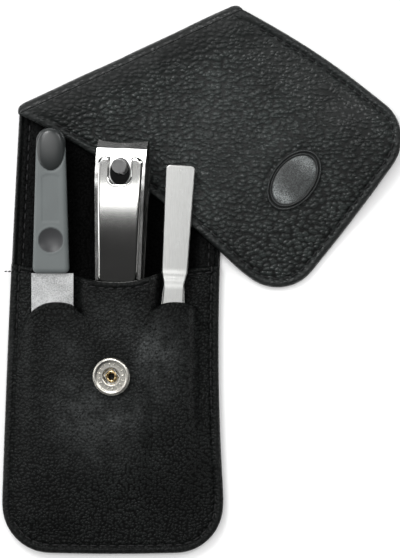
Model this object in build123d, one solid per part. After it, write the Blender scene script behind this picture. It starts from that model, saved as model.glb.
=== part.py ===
from build123d import *
from math import atan2, cos, degrees, hypot, radians, sin, sqrt, tan
import os

# Pocket manicure case, lying on its back with its flap thrown open: a long lined leather strip whose lower part
# carries a stitched pocket, and whose upper part is folded over on a slanting crease. A nail file, a nail
# clipper and a pair of tweezers stand in the pocket. Millimetres, +Z up from the table, +Y towards the crease;
# the origin is the middle of the face that the case rests on.

# ---- leather strip ---------------------------------------------------------------------------------------
LEATHER = 1.0                    # outer leather
LINING = 0.6                     # lining of back and flap
POCKET_LINING = 0.5              # lining inside the front panel
REST_GAP = 0.3                   # what a loose piece keeps from what it lies on
SEAT_GAP = 0.05                  # between two parts that are pressed or sewn together

BOTTOM_Y = -69.0                 # lowest edge of the case
BOTTOM_BOW = 1.0                 # how far the bottom edge bows out
BOTTOM_HALF_WIDTH = 35.0
BOTTOM_RADIUS = 15.0
MOUTH_Y = 17.0                   # top edge of the front panel
MOUTH_LEFT = -31.8               # the sides are drawn in here by the filled pocket
MOUTH_RIGHT = 32.5

CREASE_START = (-29.3, 66.4)     # left end of the crease's axis
CREASE_LENGTH = 76.0
CREASE_ANGLE = 25.0              # above the X axis
CREASE_INNER_RADIUS = 1.0        # how tightly the lining turns

# ---- flap, in its own directions: u away from the crease's left end, v across ----------------------------
FLAP_ANGLE = -37.5               # direction of u
FLAP_REACH = 101.3               # end of the flap along u
FLAP_END_BOW = 1.2
FLAP_LOW_V = 0.5                 # lower side at the end
FLAP_LOW_BULGE = 5.0             # lower side at its middle
FLAP_HIGH_V = 70.0               # upper side at the end
FLAP_HIGH_BULGE = 70.8           # upper side at its middle
FLAP_RADIUS = 14.0
FLAP_GAP = 0.2                   # flap above the back lining where it lies on it
FLAP_FALL = 14.0                 # from the crease, over this length the flap comes down from the roll
FLAP_FLAT = 36.0                 # up to here it lies flat
FLAP_CUSHION = (47.0, 61.0)      # here the stud under it holds it up
FLAP_DROOP = 80.0                # from here on it hangs down to the table
FLAP_END_HEIGHT = 0.4

# ---- snap fastener ---------------------------------------------------------------------------------------
SNAP_U = 79.5                    # stud and badge on the flap
SNAP_V = 35.5
BADGE_LENGTH = 21.2              # across the flap
BADGE_WIDTH = 13.8
BADGE_THICKNESS = 1.1
BADGE_EDGE = 0.3                 # bevel of its rim
BADGE_RING = 0.3                 # height of the two raised rings
BADGE_RING_WIDTH = 0.7
BADGE_RING_INSETS = (0.9, 2.3)
STUD_FLANGE_RADIUS = 4.5
STUD_HEIGHT = 3.4                # below the lining
STUD_SHEET = 0.4
STUD_SHOULDER_RADIUS = 2.9
STUD_BALL_RADIUS = 2.25
STUD_BALL_HEIGHT = 1.0           # its straight side, above the rounded tip
STUD_TIP = 0.9                   # height of the rounded tip, and radius of its flat end
STUD_NECK_RADIUS = 1.75
STUD_BORE = 1.4                  # how deep the rivet sits in it
RIVET_RADIUS = 1.2
RIVET_HEAD_RADIUS = 4.2
RIVET_HEAD = 0.4

SOCKET_X = -0.4
SOCKET_Y = -14.0
SOCKET_RADIUS = 5.85
SOCKET_HEIGHT = 1.9
SOCKET_SHEET = 0.4
SOCKET_HOLE_RADIUS = 2.4
SOCKET_RIM_RADIUS = 0.75
SOCKET_DISH = 0.35               # the plate lies this much below its rim
SOCKET_MARKS = 12                # small raised marks round the plate
SOCKET_MARK = (0.9, 0.25, 0.12)  # length, width and height of one
SPRING_WIRE = 0.35               # radius of the spring's wires
SPRING_OFFSET = 1.85             # each wire's line from the hole's middle
SPRING_LENGTH = 7.4
SPRING_ANGLE = -55.0
EYELET_RADIUS = 1.35
EYELET_BORE = 0.75
EYELET_FLANGE_RADIUS = 4.0
EYELET_FLANGE = 0.5
EYELET_COLLAR = 0.9              # how far it stands up inside the socket
EYELET_CURL = 0.38               # radius of its rolled edge

# ---- tools -----------------------------------------------------------------------------------------------
TOOL_RISE = 0.04                 # each tool lies this steep, head up

FILE_X = -18.9
FILE_TIP_Y = -57.8
FILE_LENGTH = 120.0
BLADE_WIDTH = 12.9
BLADE_THICKNESS = 1.2
BLADE_TAPER = 26.0               # length of the rounded tip
BLADE_TIP_WIDTH = 7.0
BLADE_TIP_BOW = 1.2
BLADE_SIDE_BOW = 0.8
TANG_WIDTH = 7.0
TANG_LENGTH = 16.0
HANDLE_LENGTH = 44.6
HANDLE_WIDTH = 11.3              # at the blade
HANDLE_TIP_WIDTH = 8.6
HANDLE_SHIFT = -0.4              # handle's middle from the blade's
HANDLE_BELOW = 0.6               # below the blade's underside
HANDLE_THICKNESS = 4.0
HANDLE_BEVEL = (0.9, 0.6)        # upper edges: inwards, downwards
HANDLE_LOWER_BEVEL = 0.4
HANDLE_CORNER = 1.6
KNOB_LENGTH = 12.4
KNOB_INSET = 0.6                 # from the handle's end and sides
KNOB_HEIGHT = 1.0
KNOB_BEVEL = (0.8, 2.0)          # down its side and in over its top
DIMPLE_RADIUS = 3.85
DIMPLE_DEPTH = 0.9
DIMPLE_FROM_BLADE = 10.2         # its middle from the handle's lower end

CLIPPER_LENGTH = 80.0
CLIPPER_TAIL = (1.4, -21.5)
CLIPPER_LEAN = -1.95             # head to the right
CLIPPER_ROLL = 12.0              # left side down
CLIPPER_WIDTH = 15.6
CLIPPER_TAIL_WIDTH = 12.6
ARM_THICKNESS = 1.7
JAW_PLANE = 3.6                  # where the closed edges meet, above the underside
JAW_LENGTH = 15.0                # the arms turn in towards the edges over this length
JAW_BEVEL = 2.6                  # ground bevel behind the cutting edge
JAW_HOLLOW = 0.9                 # how far the edge is drawn back in its middle
JAW_OPENING = 1.2                # degrees
RIVET_FROM_TAIL = 4.5
REAR_RIVET_RADIUS = 1.5
REAR_RIVET_FIT = 0.15            # radial room in the arms, so that they can spring
REAR_RIVET_HEAD_RADIUS = 2.6
REAR_RIVET_HEAD = 0.7
PIN_FROM_TAIL = 72.0
PIN_RADIUS = 2.2
PIN_FIT = 0.5                    # radial room in the arms' holes
PIN_HEAD_RADIUS = 3.2
PIN_HEAD = 0.7
PIN_STANDS = 4.2                 # above the closed arms
PIN_SLANT = 24.0                 # degrees, of its ground top
PIN_NOTCH = 0.9                  # cut in its side for the lever's bar
LEVER_HEAD = 75.2                # lever's forked end, from the tail
LEVER_TAIL = 20.0
LEVER_SHEET = 1.3
LEVER_WIDTH = 14.4
LEVER_TAIL_WIDTH = 11.0
LEVER_SLOT_WIDTH = 6.8
LEVER_SLOT_LENGTH = 8.4
LEVER_CORNER = 2.0
LEVER_BEVEL = 0.4
LEVER_GAP = 0.15
LEVER_LIFT = 1.0                 # degrees, until its tail meets the pocket

TWEEZERS_HEAD = (20.6, 50.8)
TWEEZERS_LENGTH = 90.0
TWEEZERS_LEAN = 3.3
TWEEZERS_SHEET = 1.0
TWEEZERS_HEAD_WIDTH = 9.1
TWEEZERS_BEND_FROM_HEAD = 33.2
TWEEZERS_BEND_LENGTH = 3.4
TWEEZERS_BEND_WIDTH = 7.8
TWEEZERS_NECK_WIDTH = 6.2
TWEEZERS_GRIP_WIDTH = 7.4
TWEEZERS_TIP_WIDTH = 3.2
TWEEZERS_TIP_SLANT = 1.4
TWEEZERS_GRIP = (9.0, 26.0)      # the widest place and the grip's end, from the neck
TWEEZERS_GRIP_TAPER = 0.86       # width at the grip's end, of the widest
TWEEZERS_TIP_LENGTH = 14.0       # the arms turn in over this length
TWEEZERS_CORNER = 1.6
TWEEZERS_STEP = 0.6              # each arm's step outwards at the bend
TWEEZERS_OPENING = 1.0           # degrees between the arms

# ---- front panel: what the leather makes room for --------------------------------------------------------
SEAM = 2.0                       # sewn margin
PANEL_FOOT_Y = -64.0             # the tunnels run out to nothing here
TUNNEL_BEVEL = 1.0               # how softly the leather turns over a tool
MOUTH_MIDDLE = 2.0               # lowest point of the sagging top edge
MOUTH_SAG = 2.4
MOUTH_RISE = 4.6                 # top edge at the sides, above its middle height
SLIT_LIP_RADIUS = 9.6            # the two arched slits
SLIT_OVERLAP = 2.5               # the upper lip reaches this far below the arch
FILE_ARCH = (-17.0, -1.2)        # middle of the left arch
TWEEZERS_ARCH = (19.2, -0.6)     # middle of the right arch

# ---- what follows from them ------------------------------------------------------------------------------
BACK_TOP = LEATHER + LINING
ROLL_RADIUS = CREASE_INNER_RADIUS + BACK_TOP
ROLL_Z = ROLL_RADIUS
PANEL_BASE = BACK_TOP + POCKET_LINING + SEAT_GAP      # underside of the panel's leather on the seam
TOOL_ROOM = REST_GAP + POCKET_LINING + SEAT_GAP       # from a tool to the leather around it
JAW_BEND = CLIPPER_LENGTH - JAW_LENGTH
UPPER_SLOPE = 2 * (JAW_PLANE - ARM_THICKNESS) / JAW_BEND
TOOL_ANGLE = degrees(atan2(TOOL_RISE, 1))
TOOL_FLOOR = BACK_TOP + REST_GAP
CREASE_END = (
    CREASE_START[0] + CREASE_LENGTH * cos(radians(CREASE_ANGLE)),
    CREASE_START[1] + CREASE_LENGTH * sin(radians(CREASE_ANGLE)),
)
UNDER, OVER = -20.0, 40.0        # heights safely below and above everything
MARGIN = 5.0                     # how far a cutting shape runs past what it cuts


def smooth(t):
    """0 below 0, 1 above 1, and a soft step between."""
    t = min(max(t, 0.0), 1.0)
    return t * t * (3 - 2 * t)


def from_crease(x, y):
    """Distance of a point from the crease's axis, positive towards the pocket."""
    dx, dy = x - CREASE_START[0], y - CREASE_START[1]
    return dx * sin(radians(CREASE_ANGLE)) - dy * cos(radians(CREASE_ANGLE))


def flap_point(u, v):
    """Table position of a point given in the flap's own directions."""
    a = radians(FLAP_ANGLE)
    return (CREASE_START[0] + u * cos(a) - v * sin(a), CREASE_START[1] + u * sin(a) + v * cos(a))


def slab(outline, bottom, top):
    """A flat outline made solid between two heights."""
    return Pos(0, 0, bottom) * extrude(outline, top - bottom)


# ---- back and crease -------------------------------------------------------------------------------------
def back_outline(inset=0.0):
    """Outline of the case on the table, or the same outline drawn further in."""
    low = BOTTOM_Y + BOTTOM_BOW + inset
    left, right = (-BOTTOM_HALF_WIDTH + inset, low), (BOTTOM_HALF_WIDTH - inset, low)
    top_left = (CREASE_START[0] + inset, CREASE_START[1])
    top_right = (CREASE_END[0] - inset, CREASE_END[1])
    face = make_face([
        ThreePointArc(left, (0, BOTTOM_Y + inset), right),
        ThreePointArc(right, (MOUTH_RIGHT - inset, MOUTH_Y), top_right),
        Line(top_right, top_left),
        ThreePointArc(top_left, (MOUTH_LEFT + inset, MOUTH_Y), left),
    ])
    corners = face.vertices().sort_by(Axis.Y)[:2]
    return fillet(corners, BOTTOM_RADIUS - inset)


def make_back():
    outline = back_outline()
    return slab(outline, 0, LEATHER), slab(outline, LEATHER, BACK_TOP)


def crease_roll(inner, outer):
    """Half a tube along the crease, from the back up and over to the flap."""
    ring = Circle(outer) - Circle(inner) - Pos(-outer, 0) * Rectangle(2 * outer, 2 * outer)
    start = Vector(CREASE_START[0], CREASE_START[1], ROLL_Z)
    along = Vector(CREASE_END[0], CREASE_END[1], ROLL_Z) - start
    outward = Vector(0, 0, 1).cross(along)
    return extrude(Plane(start, x_dir=outward, z_dir=along) * ring, CREASE_LENGTH)


# ---- flap ------------------------------------------------------------------------------------------------
def flap_outline():
    near_v = FLAP_LOW_V
    middle = 0.4 * FLAP_REACH
    end_u = FLAP_REACH - FLAP_END_BOW
    low, high = (end_u, near_v), (end_u, FLAP_HIGH_V)
    edges = [
        ThreePointArc(CREASE_START, flap_point(middle, FLAP_LOW_BULGE), flap_point(*low)),
        ThreePointArc(flap_point(*low), flap_point(FLAP_REACH, SNAP_V), flap_point(*high)),
        ThreePointArc(flap_point(*high), flap_point(0.6 * FLAP_REACH, FLAP_HIGH_BULGE), CREASE_END),
        Line(CREASE_END, CREASE_START),
    ]
    face = make_face(edges)
    corners = face.vertices().sort_by_distance(flap_point(FLAP_REACH, SNAP_V))[:2]
    return fillet(corners, FLAP_RADIUS)


def flap_height(way):
    """Underside of the flap's lining above the table, at a distance from the crease's axis."""
    lie = BACK_TOP + FLAP_GAP
    first, last = FLAP_CUSHION
    fall = (ROLL_Z + CREASE_INNER_RADIUS - lie) * (1 - smooth(way / FLAP_FALL))
    held = STUD_HEIGHT + SEAT_GAP - lie
    rise = held * smooth((way - FLAP_FLAT) / (first - FLAP_FLAT))
    droop = (held + lie - FLAP_END_HEIGHT) * smooth((way - last) / (FLAP_DROOP - last))
    return lie + fall + rise - droop


def flap_sheet(above, thickness):
    """One layer of the flap: a strip that rises and falls away from the crease, and is straight along it."""
    length = 2.5 * FLAP_REACH
    steps = 28
    upper = [(i * 1.2 * FLAP_REACH / steps - MARGIN, 0) for i in range(steps + 1)]
    upper = [(way, flap_height(way) + above + thickness) for way, _ in upper]
    lower = [(way, height - thickness) for way, height in reversed(upper)]
    section = make_face(Polyline(*upper, *lower, close=True))
    along = Vector(cos(radians(CREASE_ANGLE)), sin(radians(CREASE_ANGLE)), 0)
    outward = Vector(along.Y, -along.X, 0)
    origin = Vector(*CREASE_START, 0) - along * 0.5 * length
    return extrude(Plane(origin, x_dir=outward, z_dir=outward.cross(Vector(0, 0, 1))) * section, -length)


def make_flap():
    hole = Pos(*flap_point(SNAP_U, SNAP_V)) * Circle(RIVET_RADIUS + SEAT_GAP)
    cut = slab(flap_outline() - hole, UNDER, OVER)
    return flap_sheet(LINING, LEATHER) & cut, flap_sheet(0, LINING) & cut


def make_badge():
    """An oval of leather pressed over the rivet, with two raised rings, laid on the flap above the snap."""
    half_length, half_width = BADGE_LENGTH / 2, BADGE_WIDTH / 2
    body = extrude(Ellipse(half_width, half_length), BADGE_THICKNESS)
    body = chamfer(body.edges().sort_by(Axis.Z)[-1], BADGE_EDGE)
    for inset in BADGE_RING_INSETS:
        within = inset + BADGE_RING_WIDTH
        ring = Ellipse(half_width - inset, half_length - inset)
        ring -= Ellipse(half_width - within, half_length - within)
        body += slab(ring, BADGE_THICKNESS, BADGE_THICKNESS + BADGE_RING)
    body -= slab(Circle(RIVET_HEAD_RADIUS + SEAT_GAP), 0, RIVET_HEAD + SEAT_GAP)
    x, y = flap_point(SNAP_U, SNAP_V)
    top = flap_height(from_crease(x, y)) + BACK_TOP + SEAT_GAP
    return Pos(x, y, top) * Rot(0, 0, FLAP_ANGLE) * body


def make_stud():
    """The snap's stud below the flap's lining, and the rivet that holds it through both layers."""
    ball_bottom = STUD_TIP - STUD_HEIGHT
    ball_top = ball_bottom + STUD_BALL_HEIGHT
    shoulder = (STUD_SHOULDER_RADIUS, -1.5 * STUD_SHEET)
    neck = (STUD_NECK_RADIUS, ball_top + (STUD_BALL_RADIUS - STUD_NECK_RADIUS))
    ball = (STUD_BALL_RADIUS, ball_top)
    rounded = (STUD_TIP + 0.7 * (STUD_BALL_RADIUS - STUD_TIP), -STUD_HEIGHT + 0.3 * STUD_TIP)
    profile = Polyline(
        (0, -STUD_HEIGHT), (0, 0), (STUD_FLANGE_RADIUS, 0), (STUD_FLANGE_RADIUS, -STUD_SHEET),
        shoulder, neck, ball, (STUD_BALL_RADIUS, ball_bottom), rounded, (STUD_TIP, -STUD_HEIGHT),
        close=True,
    )
    stud = revolve(Plane.XZ * make_face(profile), Axis.Z)
    stud -= slab(Circle(RIVET_RADIUS + SEAT_GAP), -STUD_BORE, 0)
    top = BACK_TOP + 2 * SEAT_GAP
    rivet = slab(Circle(RIVET_RADIUS), -STUD_BORE + SEAT_GAP, top)
    rivet += slab(Circle(RIVET_HEAD_RADIUS), top, top + RIVET_HEAD - SEAT_GAP)
    x, y = flap_point(SNAP_U, SNAP_V)
    place = Pos(x, y, flap_height(from_crease(x, y)) - SEAT_GAP)
    return place * stud, place * rivet


# ---- front panel -----------------------------------------------------------------------------------------
def clipper_stack(s):
    """Height of arms and lever over the clipper's underside, at s from its tail."""
    arms = 2 * ARM_THICKNESS + s * (UPPER_SLOPE + tan(radians(JAW_OPENING)))
    lift = max(PIN_FROM_TAIL - s, 0) * tan(radians(LEVER_LIFT))
    return arms + LEVER_GAP + LEVER_SHEET + lift


def clipper_section(y):
    """What the leather must clear around the clipper at y: left, right, and the roof's height at both."""
    s = y - CLIPPER_TAIL[1]
    roll = radians(CLIPPER_ROLL)
    half = (CLIPPER_TAIL_WIDTH + s * (CLIPPER_WIDTH - CLIPPER_TAIL_WIDTH) / CLIPPER_LENGTH) / 2
    middle = CLIPPER_TAIL[0] - s * tan(radians(CLIPPER_LEAN))
    underside = TOOL_FLOOR + CLIPPER_TAIL_WIDTH / 2 * sin(roll) + s * TOOL_RISE
    left = middle - half * cos(roll) - clipper_stack(s) * sin(roll) - TOOL_ROOM
    right = middle + half * cos(roll) + TOOL_ROOM
    roof_left = underside - half * sin(roll) + clipper_stack(s) * cos(roll)
    roof_left += TOOL_ROOM * (1 / cos(roll) - tan(roll))
    return left, right, roof_left, roof_left + (right - left) * tan(roll)


def grown(section, grow):
    """A section's left, right and roof heights with the leather's layers counted in, the roof kept parallel."""
    left, right, roof_left, roof_right = section
    slope = (roof_right - roof_left) / (right - left)
    rise = grow * hypot(1, slope)
    return left - grow, right + grow, roof_left + rise - slope * grow, roof_right + rise + slope * grow


def tunnel(sections, grow):
    """The room for one tool: sections across the case with bevelled corners, joined by straight runs."""
    faces = []
    for y, *section in sections:
        left, right, roof_left, roof_right = grown(section, grow)
        low = -MARGIN
        outline = Polyline((left, low), (right, low), (right, roof_right), (left, roof_left), close=True)
        face = make_face(outline)
        top = [corner for corner in face.vertices() if corner.Y > 0]
        face = chamfer(top, TUNNEL_BEVEL + (2 - sqrt(2)) * grow)
        faces.append(Plane((0, y, 0), x_dir=(1, 0, 0), z_dir=(0, -1, 0)) * face)
    return Solid.make_loft([f.face().outer_wire() for f in faces], ruled=True)


def flat_tunnel_sections(arch, lip_height, tail_y, tail_height):
    """Sections for file and tweezers, from past the arch down to the bottom seam."""
    left, right = arch[0] - SLIT_LIP_RADIUS, arch[0] + SLIT_LIP_RADIUS
    lip_y = arch[1] + SLIT_LIP_RADIUS
    slope = (lip_height - tail_height) / (lip_y - tail_y)
    past = lip_height + slope * MARGIN
    return [
        (lip_y + MARGIN, left, right, past, past),
        (tail_y, left, right, tail_height, tail_height),
        (PANEL_FOOT_Y, left, right, PANEL_BASE, PANEL_BASE),
    ]


def arch_plan(arch, shift=0.0):
    """Plan of a tunnel that ends in an arch, or the same plan moved down the case."""
    x, y = arch[0], arch[1] - shift
    straight = y - BOTTOM_Y
    leg = Pos(x, y - straight / 2) * Rectangle(2 * SLIT_LIP_RADIUS, straight)
    return Pos(x, y) * Circle(SLIT_LIP_RADIUS) + leg


def panel_outline():
    """The back's outline below the sagging top edge of the panel."""
    left, right = -BOTTOM_HALF_WIDTH - MARGIN, BOTTOM_HALF_WIDTH + MARGIN
    side_y, low_y = MOUTH_Y + MOUTH_RISE, BOTTOM_Y - MARGIN
    below = make_face([
        ThreePointArc((left, side_y), (MOUTH_MIDDLE, MOUTH_Y - MOUTH_SAG), (right, side_y)),
        Polyline((right, side_y), (right, low_y), (left, low_y), (left, side_y)),
    ])
    return back_outline() & below


def file_tunnel_sections():
    inside = BLADE_THICKNESS + TOOL_ROOM + TOOL_FLOOR
    under_lip = FILE_ARCH[1] + SLIT_LIP_RADIUS - FILE_TIP_Y
    return flat_tunnel_sections(FILE_ARCH, inside + (under_lip + MARGIN) * TOOL_RISE, FILE_TIP_Y, inside)


def tweezers_tunnel_sections():
    tip_y = TWEEZERS_HEAD[1] - TWEEZERS_LENGTH * cos(radians(TWEEZERS_LEAN))
    under_lip = TWEEZERS_ARCH[1] + SLIT_LIP_RADIUS - tip_y
    spread = TWEEZERS_LENGTH * tan(radians(TWEEZERS_OPENING))
    inside = 2 * (TWEEZERS_SHEET + TWEEZERS_STEP) + spread + TOOL_ROOM + TOOL_FLOOR
    return flat_tunnel_sections(TWEEZERS_ARCH, inside + (under_lip + MARGIN) * TOOL_RISE, tip_y, inside)


def clipper_tunnel_sections():
    sections = [(y, *clipper_section(y)) for y in (MOUTH_Y + 2 * MARGIN, CLIPPER_TAIL[1])]
    _, left, right, _, _ = sections[-1]
    return sections + [(PANEL_FOOT_Y, left, right, PANEL_BASE, PANEL_BASE)]


def panel_layer(base, thickness, grow, seam, lip_inset):
    """One layer of the front panel: a flat sewn margin, raised into a tunnel over each of the three tools."""
    whole = panel_outline()
    raised = slab(back_outline(seam) & whole, 0, OVER)
    hollow = slab(back_outline(seam + thickness), UNDER, OVER)
    above = base + thickness / 2
    layer = slab(whole, base, base + thickness)

    clipper = clipper_tunnel_sections()
    layer += tunnel(clipper, grow + thickness) & raised & slab(whole, above, OVER)
    inside = tunnel(clipper, grow) & hollow
    roofs = []
    for arch, sections in ((FILE_ARCH, file_tunnel_sections()), (TWEEZERS_ARCH, tweezers_tunnel_sections())):
        layer += tunnel(sections, grow + thickness) & slab(arch_plan(arch, lip_inset), above, OVER) & raised
        below_lip = slab(arch_plan(arch, SLIT_OVERLAP), UNDER, OVER)
        slit = Pos(arch[0], arch[1] + SLIT_LIP_RADIUS) * Rectangle(6 * SLIT_LIP_RADIUS, 4 * SLIT_LIP_RADIUS)
        inside += tunnel(sections, grow) & hollow & (below_lip + slab(slit, base + thickness, OVER))
        roofs.append(sections[1][3])

    # between the tunnels the pocket is one room, open below the lowest roof
    join_top, join_bottom = -2 * MARGIN, PANEL_FOOT_Y + MARGIN
    join = Pos(MOUTH_MIDDLE, (join_top + join_bottom) / 2)
    join *= Rectangle(TWEEZERS_ARCH[0] - FILE_ARCH[0], join_top - join_bottom)
    inside += slab(join, UNDER, min(roofs) + grow - TUNNEL_BEVEL) & hollow
    hole = Cylinder(EYELET_RADIUS + SEAT_GAP, 12 * LEATHER)
    return layer - inside - socket_plane().location * hole


def make_panel():
    leather = panel_layer(PANEL_BASE, LEATHER, 0, SEAM, 0)
    within = SEAM + LEATHER + SEAT_GAP
    lining = panel_layer(BACK_TOP, POCKET_LINING, -POCKET_LINING - SEAT_GAP, within, SLIT_OVERLAP)
    return leather, lining


# ---- snap socket on the panel ----------------------------------------------------------------------------
def socket_plane():
    """Seat of the socket: the flat roof of the clipper's tunnel."""
    def roof(x, y):
        left, right, low, high = grown(clipper_section(y), LEATHER)
        return low + (high - low) * (x - left) / (right - left)

    x, y = SOCKET_X, SOCKET_Y
    slope_x = roof(x + 1, y) - roof(x, y)
    slope_y = roof(x, y + 1) - roof(x, y)
    normal = Vector(-slope_x, -slope_y, 1).normalized()
    seat = Vector(x, y, roof(x, y)) + normal * SEAT_GAP
    return Plane(seat, x_dir=Vector(1, 0, slope_x), z_dir=normal)


def make_socket():
    hole, outer, height = SOCKET_HOLE_RADIUS, SOCKET_RADIUS, SOCKET_HEIGHT
    rim, sheet = SOCKET_RIM_RADIUS, SOCKET_SHEET
    plate = height - SOCKET_DISH
    profile = Polyline(
        (hole, plate - sheet), (outer - rim, plate - sheet), (outer - rim, 0), (outer - sheet, 0),
        (outer, sheet), (outer, height - 0.7 * rim), (outer - 0.3 * rim, height - 0.2 * rim), (outer - rim, height),
        (outer - 1.6 * rim, height - 0.3 * rim), (outer - 2 * rim, plate),
        (hole + 0.8 * rim, plate), (hole + 0.2 * rim, plate - 0.3 * sheet),
        close=True,
    )
    shell = revolve(Plane.XZ * make_face(profile), Axis.Z)
    base = slab(Circle(outer - rim - SEAT_GAP) - Circle(EYELET_RADIUS + SEAT_GAP), 0, sheet)
    mark_length, mark_width, mark_height = SOCKET_MARK
    mark_circle = 0.5 * (hole + outer - rim)
    marks = Sketch() + PolarLocations(mark_circle, SOCKET_MARKS) * Rectangle(mark_length, mark_width)
    shell += slab(marks, plate - sheet / 2, plate + mark_height)

    wire_height = sheet + SPRING_WIRE + 0.4 * SEAT_GAP
    wire = Pos(0, SPRING_OFFSET, wire_height) * Rot(0, 90, 0) * Cylinder(SPRING_WIRE, SPRING_LENGTH)
    spring = Rot(0, 0, SPRING_ANGLE) * (wire + Rot(0, 0, 180) * wire)

    # the eyelet runs through leather and lining, and is turned over a washer inside the pocket
    through = LEATHER + POCKET_LINING + 3 * SEAT_GAP
    bore, outer, top = EYELET_BORE, EYELET_RADIUS, EYELET_COLLAR
    curl = Polyline(
        (bore, -through - EYELET_FLANGE), (EYELET_FLANGE_RADIUS, -through - EYELET_FLANGE),
        (EYELET_FLANGE_RADIUS, -through), (outer, -through), (outer, top),
        (outer - 0.3 * EYELET_CURL, top + 0.7 * EYELET_CURL), (outer - EYELET_CURL, top + EYELET_CURL),
        (bore + 0.2 * EYELET_CURL, top + 0.6 * EYELET_CURL), (bore, top),
        close=True,
    )
    eyelet = revolve(Plane.XZ * make_face(curl), Axis.Z)
    seat = socket_plane().location
    return seat * shell, seat * base, seat * spring, seat * eyelet


# ---- nail file -------------------------------------------------------------------------------------------
def place_file(body):
    return Pos(FILE_X, FILE_TIP_Y, TOOL_FLOOR) * Rot(TOOL_ANGLE, 0, 0) * body


def blade_outline():
    half, tip, bow = BLADE_WIDTH / 2, BLADE_TIP_WIDTH / 2, BLADE_TIP_BOW
    shoulder = FILE_LENGTH - HANDLE_LENGTH - SEAT_GAP
    side = half - BLADE_SIDE_BOW
    return make_face([
        ThreePointArc((-half, BLADE_TAPER), (-side, 0.5 * BLADE_TAPER), (-tip, bow)),
        ThreePointArc((-tip, bow), (0, 0), (tip, bow)),
        ThreePointArc((tip, bow), (side, 0.5 * BLADE_TAPER), (half, BLADE_TAPER)),
        Polyline((half, BLADE_TAPER), (half, shoulder), (-half, shoulder), (-half, BLADE_TAPER)),
    ])


def handle_outline():
    low, high = FILE_LENGTH - HANDLE_LENGTH, FILE_LENGTH
    wide, narrow = HANDLE_WIDTH / 2, HANDLE_TIP_WIDTH / 2
    face = make_face(Polyline(
        (-wide, low), (wide, low), (narrow, high - narrow), (narrow, high), (-narrow, high),
        (-narrow, high - narrow), (-wide, low),
    ))
    face = fillet(face.vertices().sort_by(Axis.Y)[-2:], 0.97 * narrow)
    return fillet(face.vertices().sort_by(Axis.Y)[:2], HANDLE_CORNER)


def make_file():
    shoulder = FILE_LENGTH - HANDLE_LENGTH
    tang_middle = shoulder + TANG_LENGTH / 2
    blade = slab(blade_outline(), 0, BLADE_THICKNESS)
    tang = Pos(0, tang_middle - 1) * RectangleRounded(TANG_WIDTH, TANG_LENGTH + 2, HANDLE_CORNER)
    blade += slab(tang, 0, BLADE_THICKNESS)

    top = HANDLE_THICKNESS - HANDLE_BELOW
    handle = slab(Pos(HANDLE_SHIFT, 0) * handle_outline(), -HANDLE_BELOW, top)
    upper_edges = handle.faces().sort_by(Axis.Z)[-1].edges()
    handle = chamfer(upper_edges, *HANDLE_BEVEL)
    lower_edges = handle.faces().sort_by(Axis.Z)[0].edges()
    handle = chamfer(lower_edges, HANDLE_LOWER_BEVEL)

    sunk = 0.4                       # how much of the knob's oval lies in the handle
    knob = extrude(Ellipse(HANDLE_TIP_WIDTH / 2 - KNOB_INSET, KNOB_LENGTH / 2), KNOB_HEIGHT + sunk)
    knob = chamfer(knob.edges().sort_by(Axis.Z)[-1], *KNOB_BEVEL)
    handle += Pos(HANDLE_SHIFT, FILE_LENGTH - KNOB_LENGTH / 2 - KNOB_INSET, top - sunk) * knob
    dish = [(0, 1), (0, -DIMPLE_DEPTH), (0.5 * DIMPLE_RADIUS, -0.75 * DIMPLE_DEPTH), (DIMPLE_RADIUS, 0),
            (DIMPLE_RADIUS, 1)]
    dish = revolve(Plane.XZ * make_face(Polyline(*dish, close=True)), Axis.Z)
    handle -= Pos(HANDLE_SHIFT, shoulder + DIMPLE_FROM_BLADE, top) * dish

    slot_width, slot_length = TANG_WIDTH + 2 * SEAT_GAP, TANG_LENGTH + 2 * SEAT_GAP
    slot = Pos(0, tang_middle) * RectangleRounded(slot_width, slot_length, HANDLE_CORNER)
    slot += Pos(0, shoulder + 1) * Rectangle(slot_width, 4)
    handle -= slab(slot, -SEAT_GAP, BLADE_THICKNESS + SEAT_GAP)
    return place_file(blade), place_file(handle)


# ---- nail clipper ----------------------------------------------------------------------------------------
def place_clipper(body):
    lift = CLIPPER_TAIL_WIDTH / 2 * sin(radians(CLIPPER_ROLL))
    turn = Rot(0, 0, CLIPPER_LEAN) * Rot(TOOL_ANGLE, 0, 0) * Rot(0, -CLIPPER_ROLL, 0)
    return Pos(*CLIPPER_TAIL, TOOL_FLOOR + lift) * turn * body


def clipper_outline(head_width, tail_width, tail, head, hollow):
    """Plan of an arm or the lever: tapering to rounded tail corners, its head drawn back in the middle."""
    wide, narrow = head_width / 2, tail_width / 2
    taper_end = head - 0.8 * JAW_LENGTH
    face = make_face([
        ThreePointArc((wide, head), (0, head - hollow), (-wide, head)),
        Polyline((-wide, head), (-wide, taper_end), (-narrow, tail)),
        Polyline((-narrow, tail), (narrow, tail), (wide, taper_end), (wide, head)),
    ])
    return fillet(face.vertices().sort_by(Axis.Y)[:2], 0.2 * JAW_LENGTH)


def arm_profile(slope, side):
    """Side view of an arm, along Y and Z: a strip from the tail's end that turns in to the cutting edge."""
    near = ARM_THICKNESS
    far = near + side * ARM_THICKNESS
    inner_start = JAW_BEND - 1
    outer_bend = (JAW_BEND, far + slope * JAW_BEND)
    inner_bend = (inner_start, near + slope * inner_start)
    turned_outer = (CLIPPER_LENGTH - JAW_BEVEL, JAW_PLANE + side * ARM_THICKNESS)
    turned_inner = (CLIPPER_LENGTH - JAW_BEVEL / 2, JAW_PLANE + side * 0.2 * ARM_THICKNESS)
    along = (1, slope)
    return make_face([
        TangentArc(outer_bend, turned_outer, tangent=along),
        Polyline(turned_outer, (CLIPPER_LENGTH, JAW_PLANE), turned_inner),
        TangentArc(inner_bend, turned_inner, tangent=along),
        Polyline(inner_bend, (0, near), (0, far), outer_bend),
    ])


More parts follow.
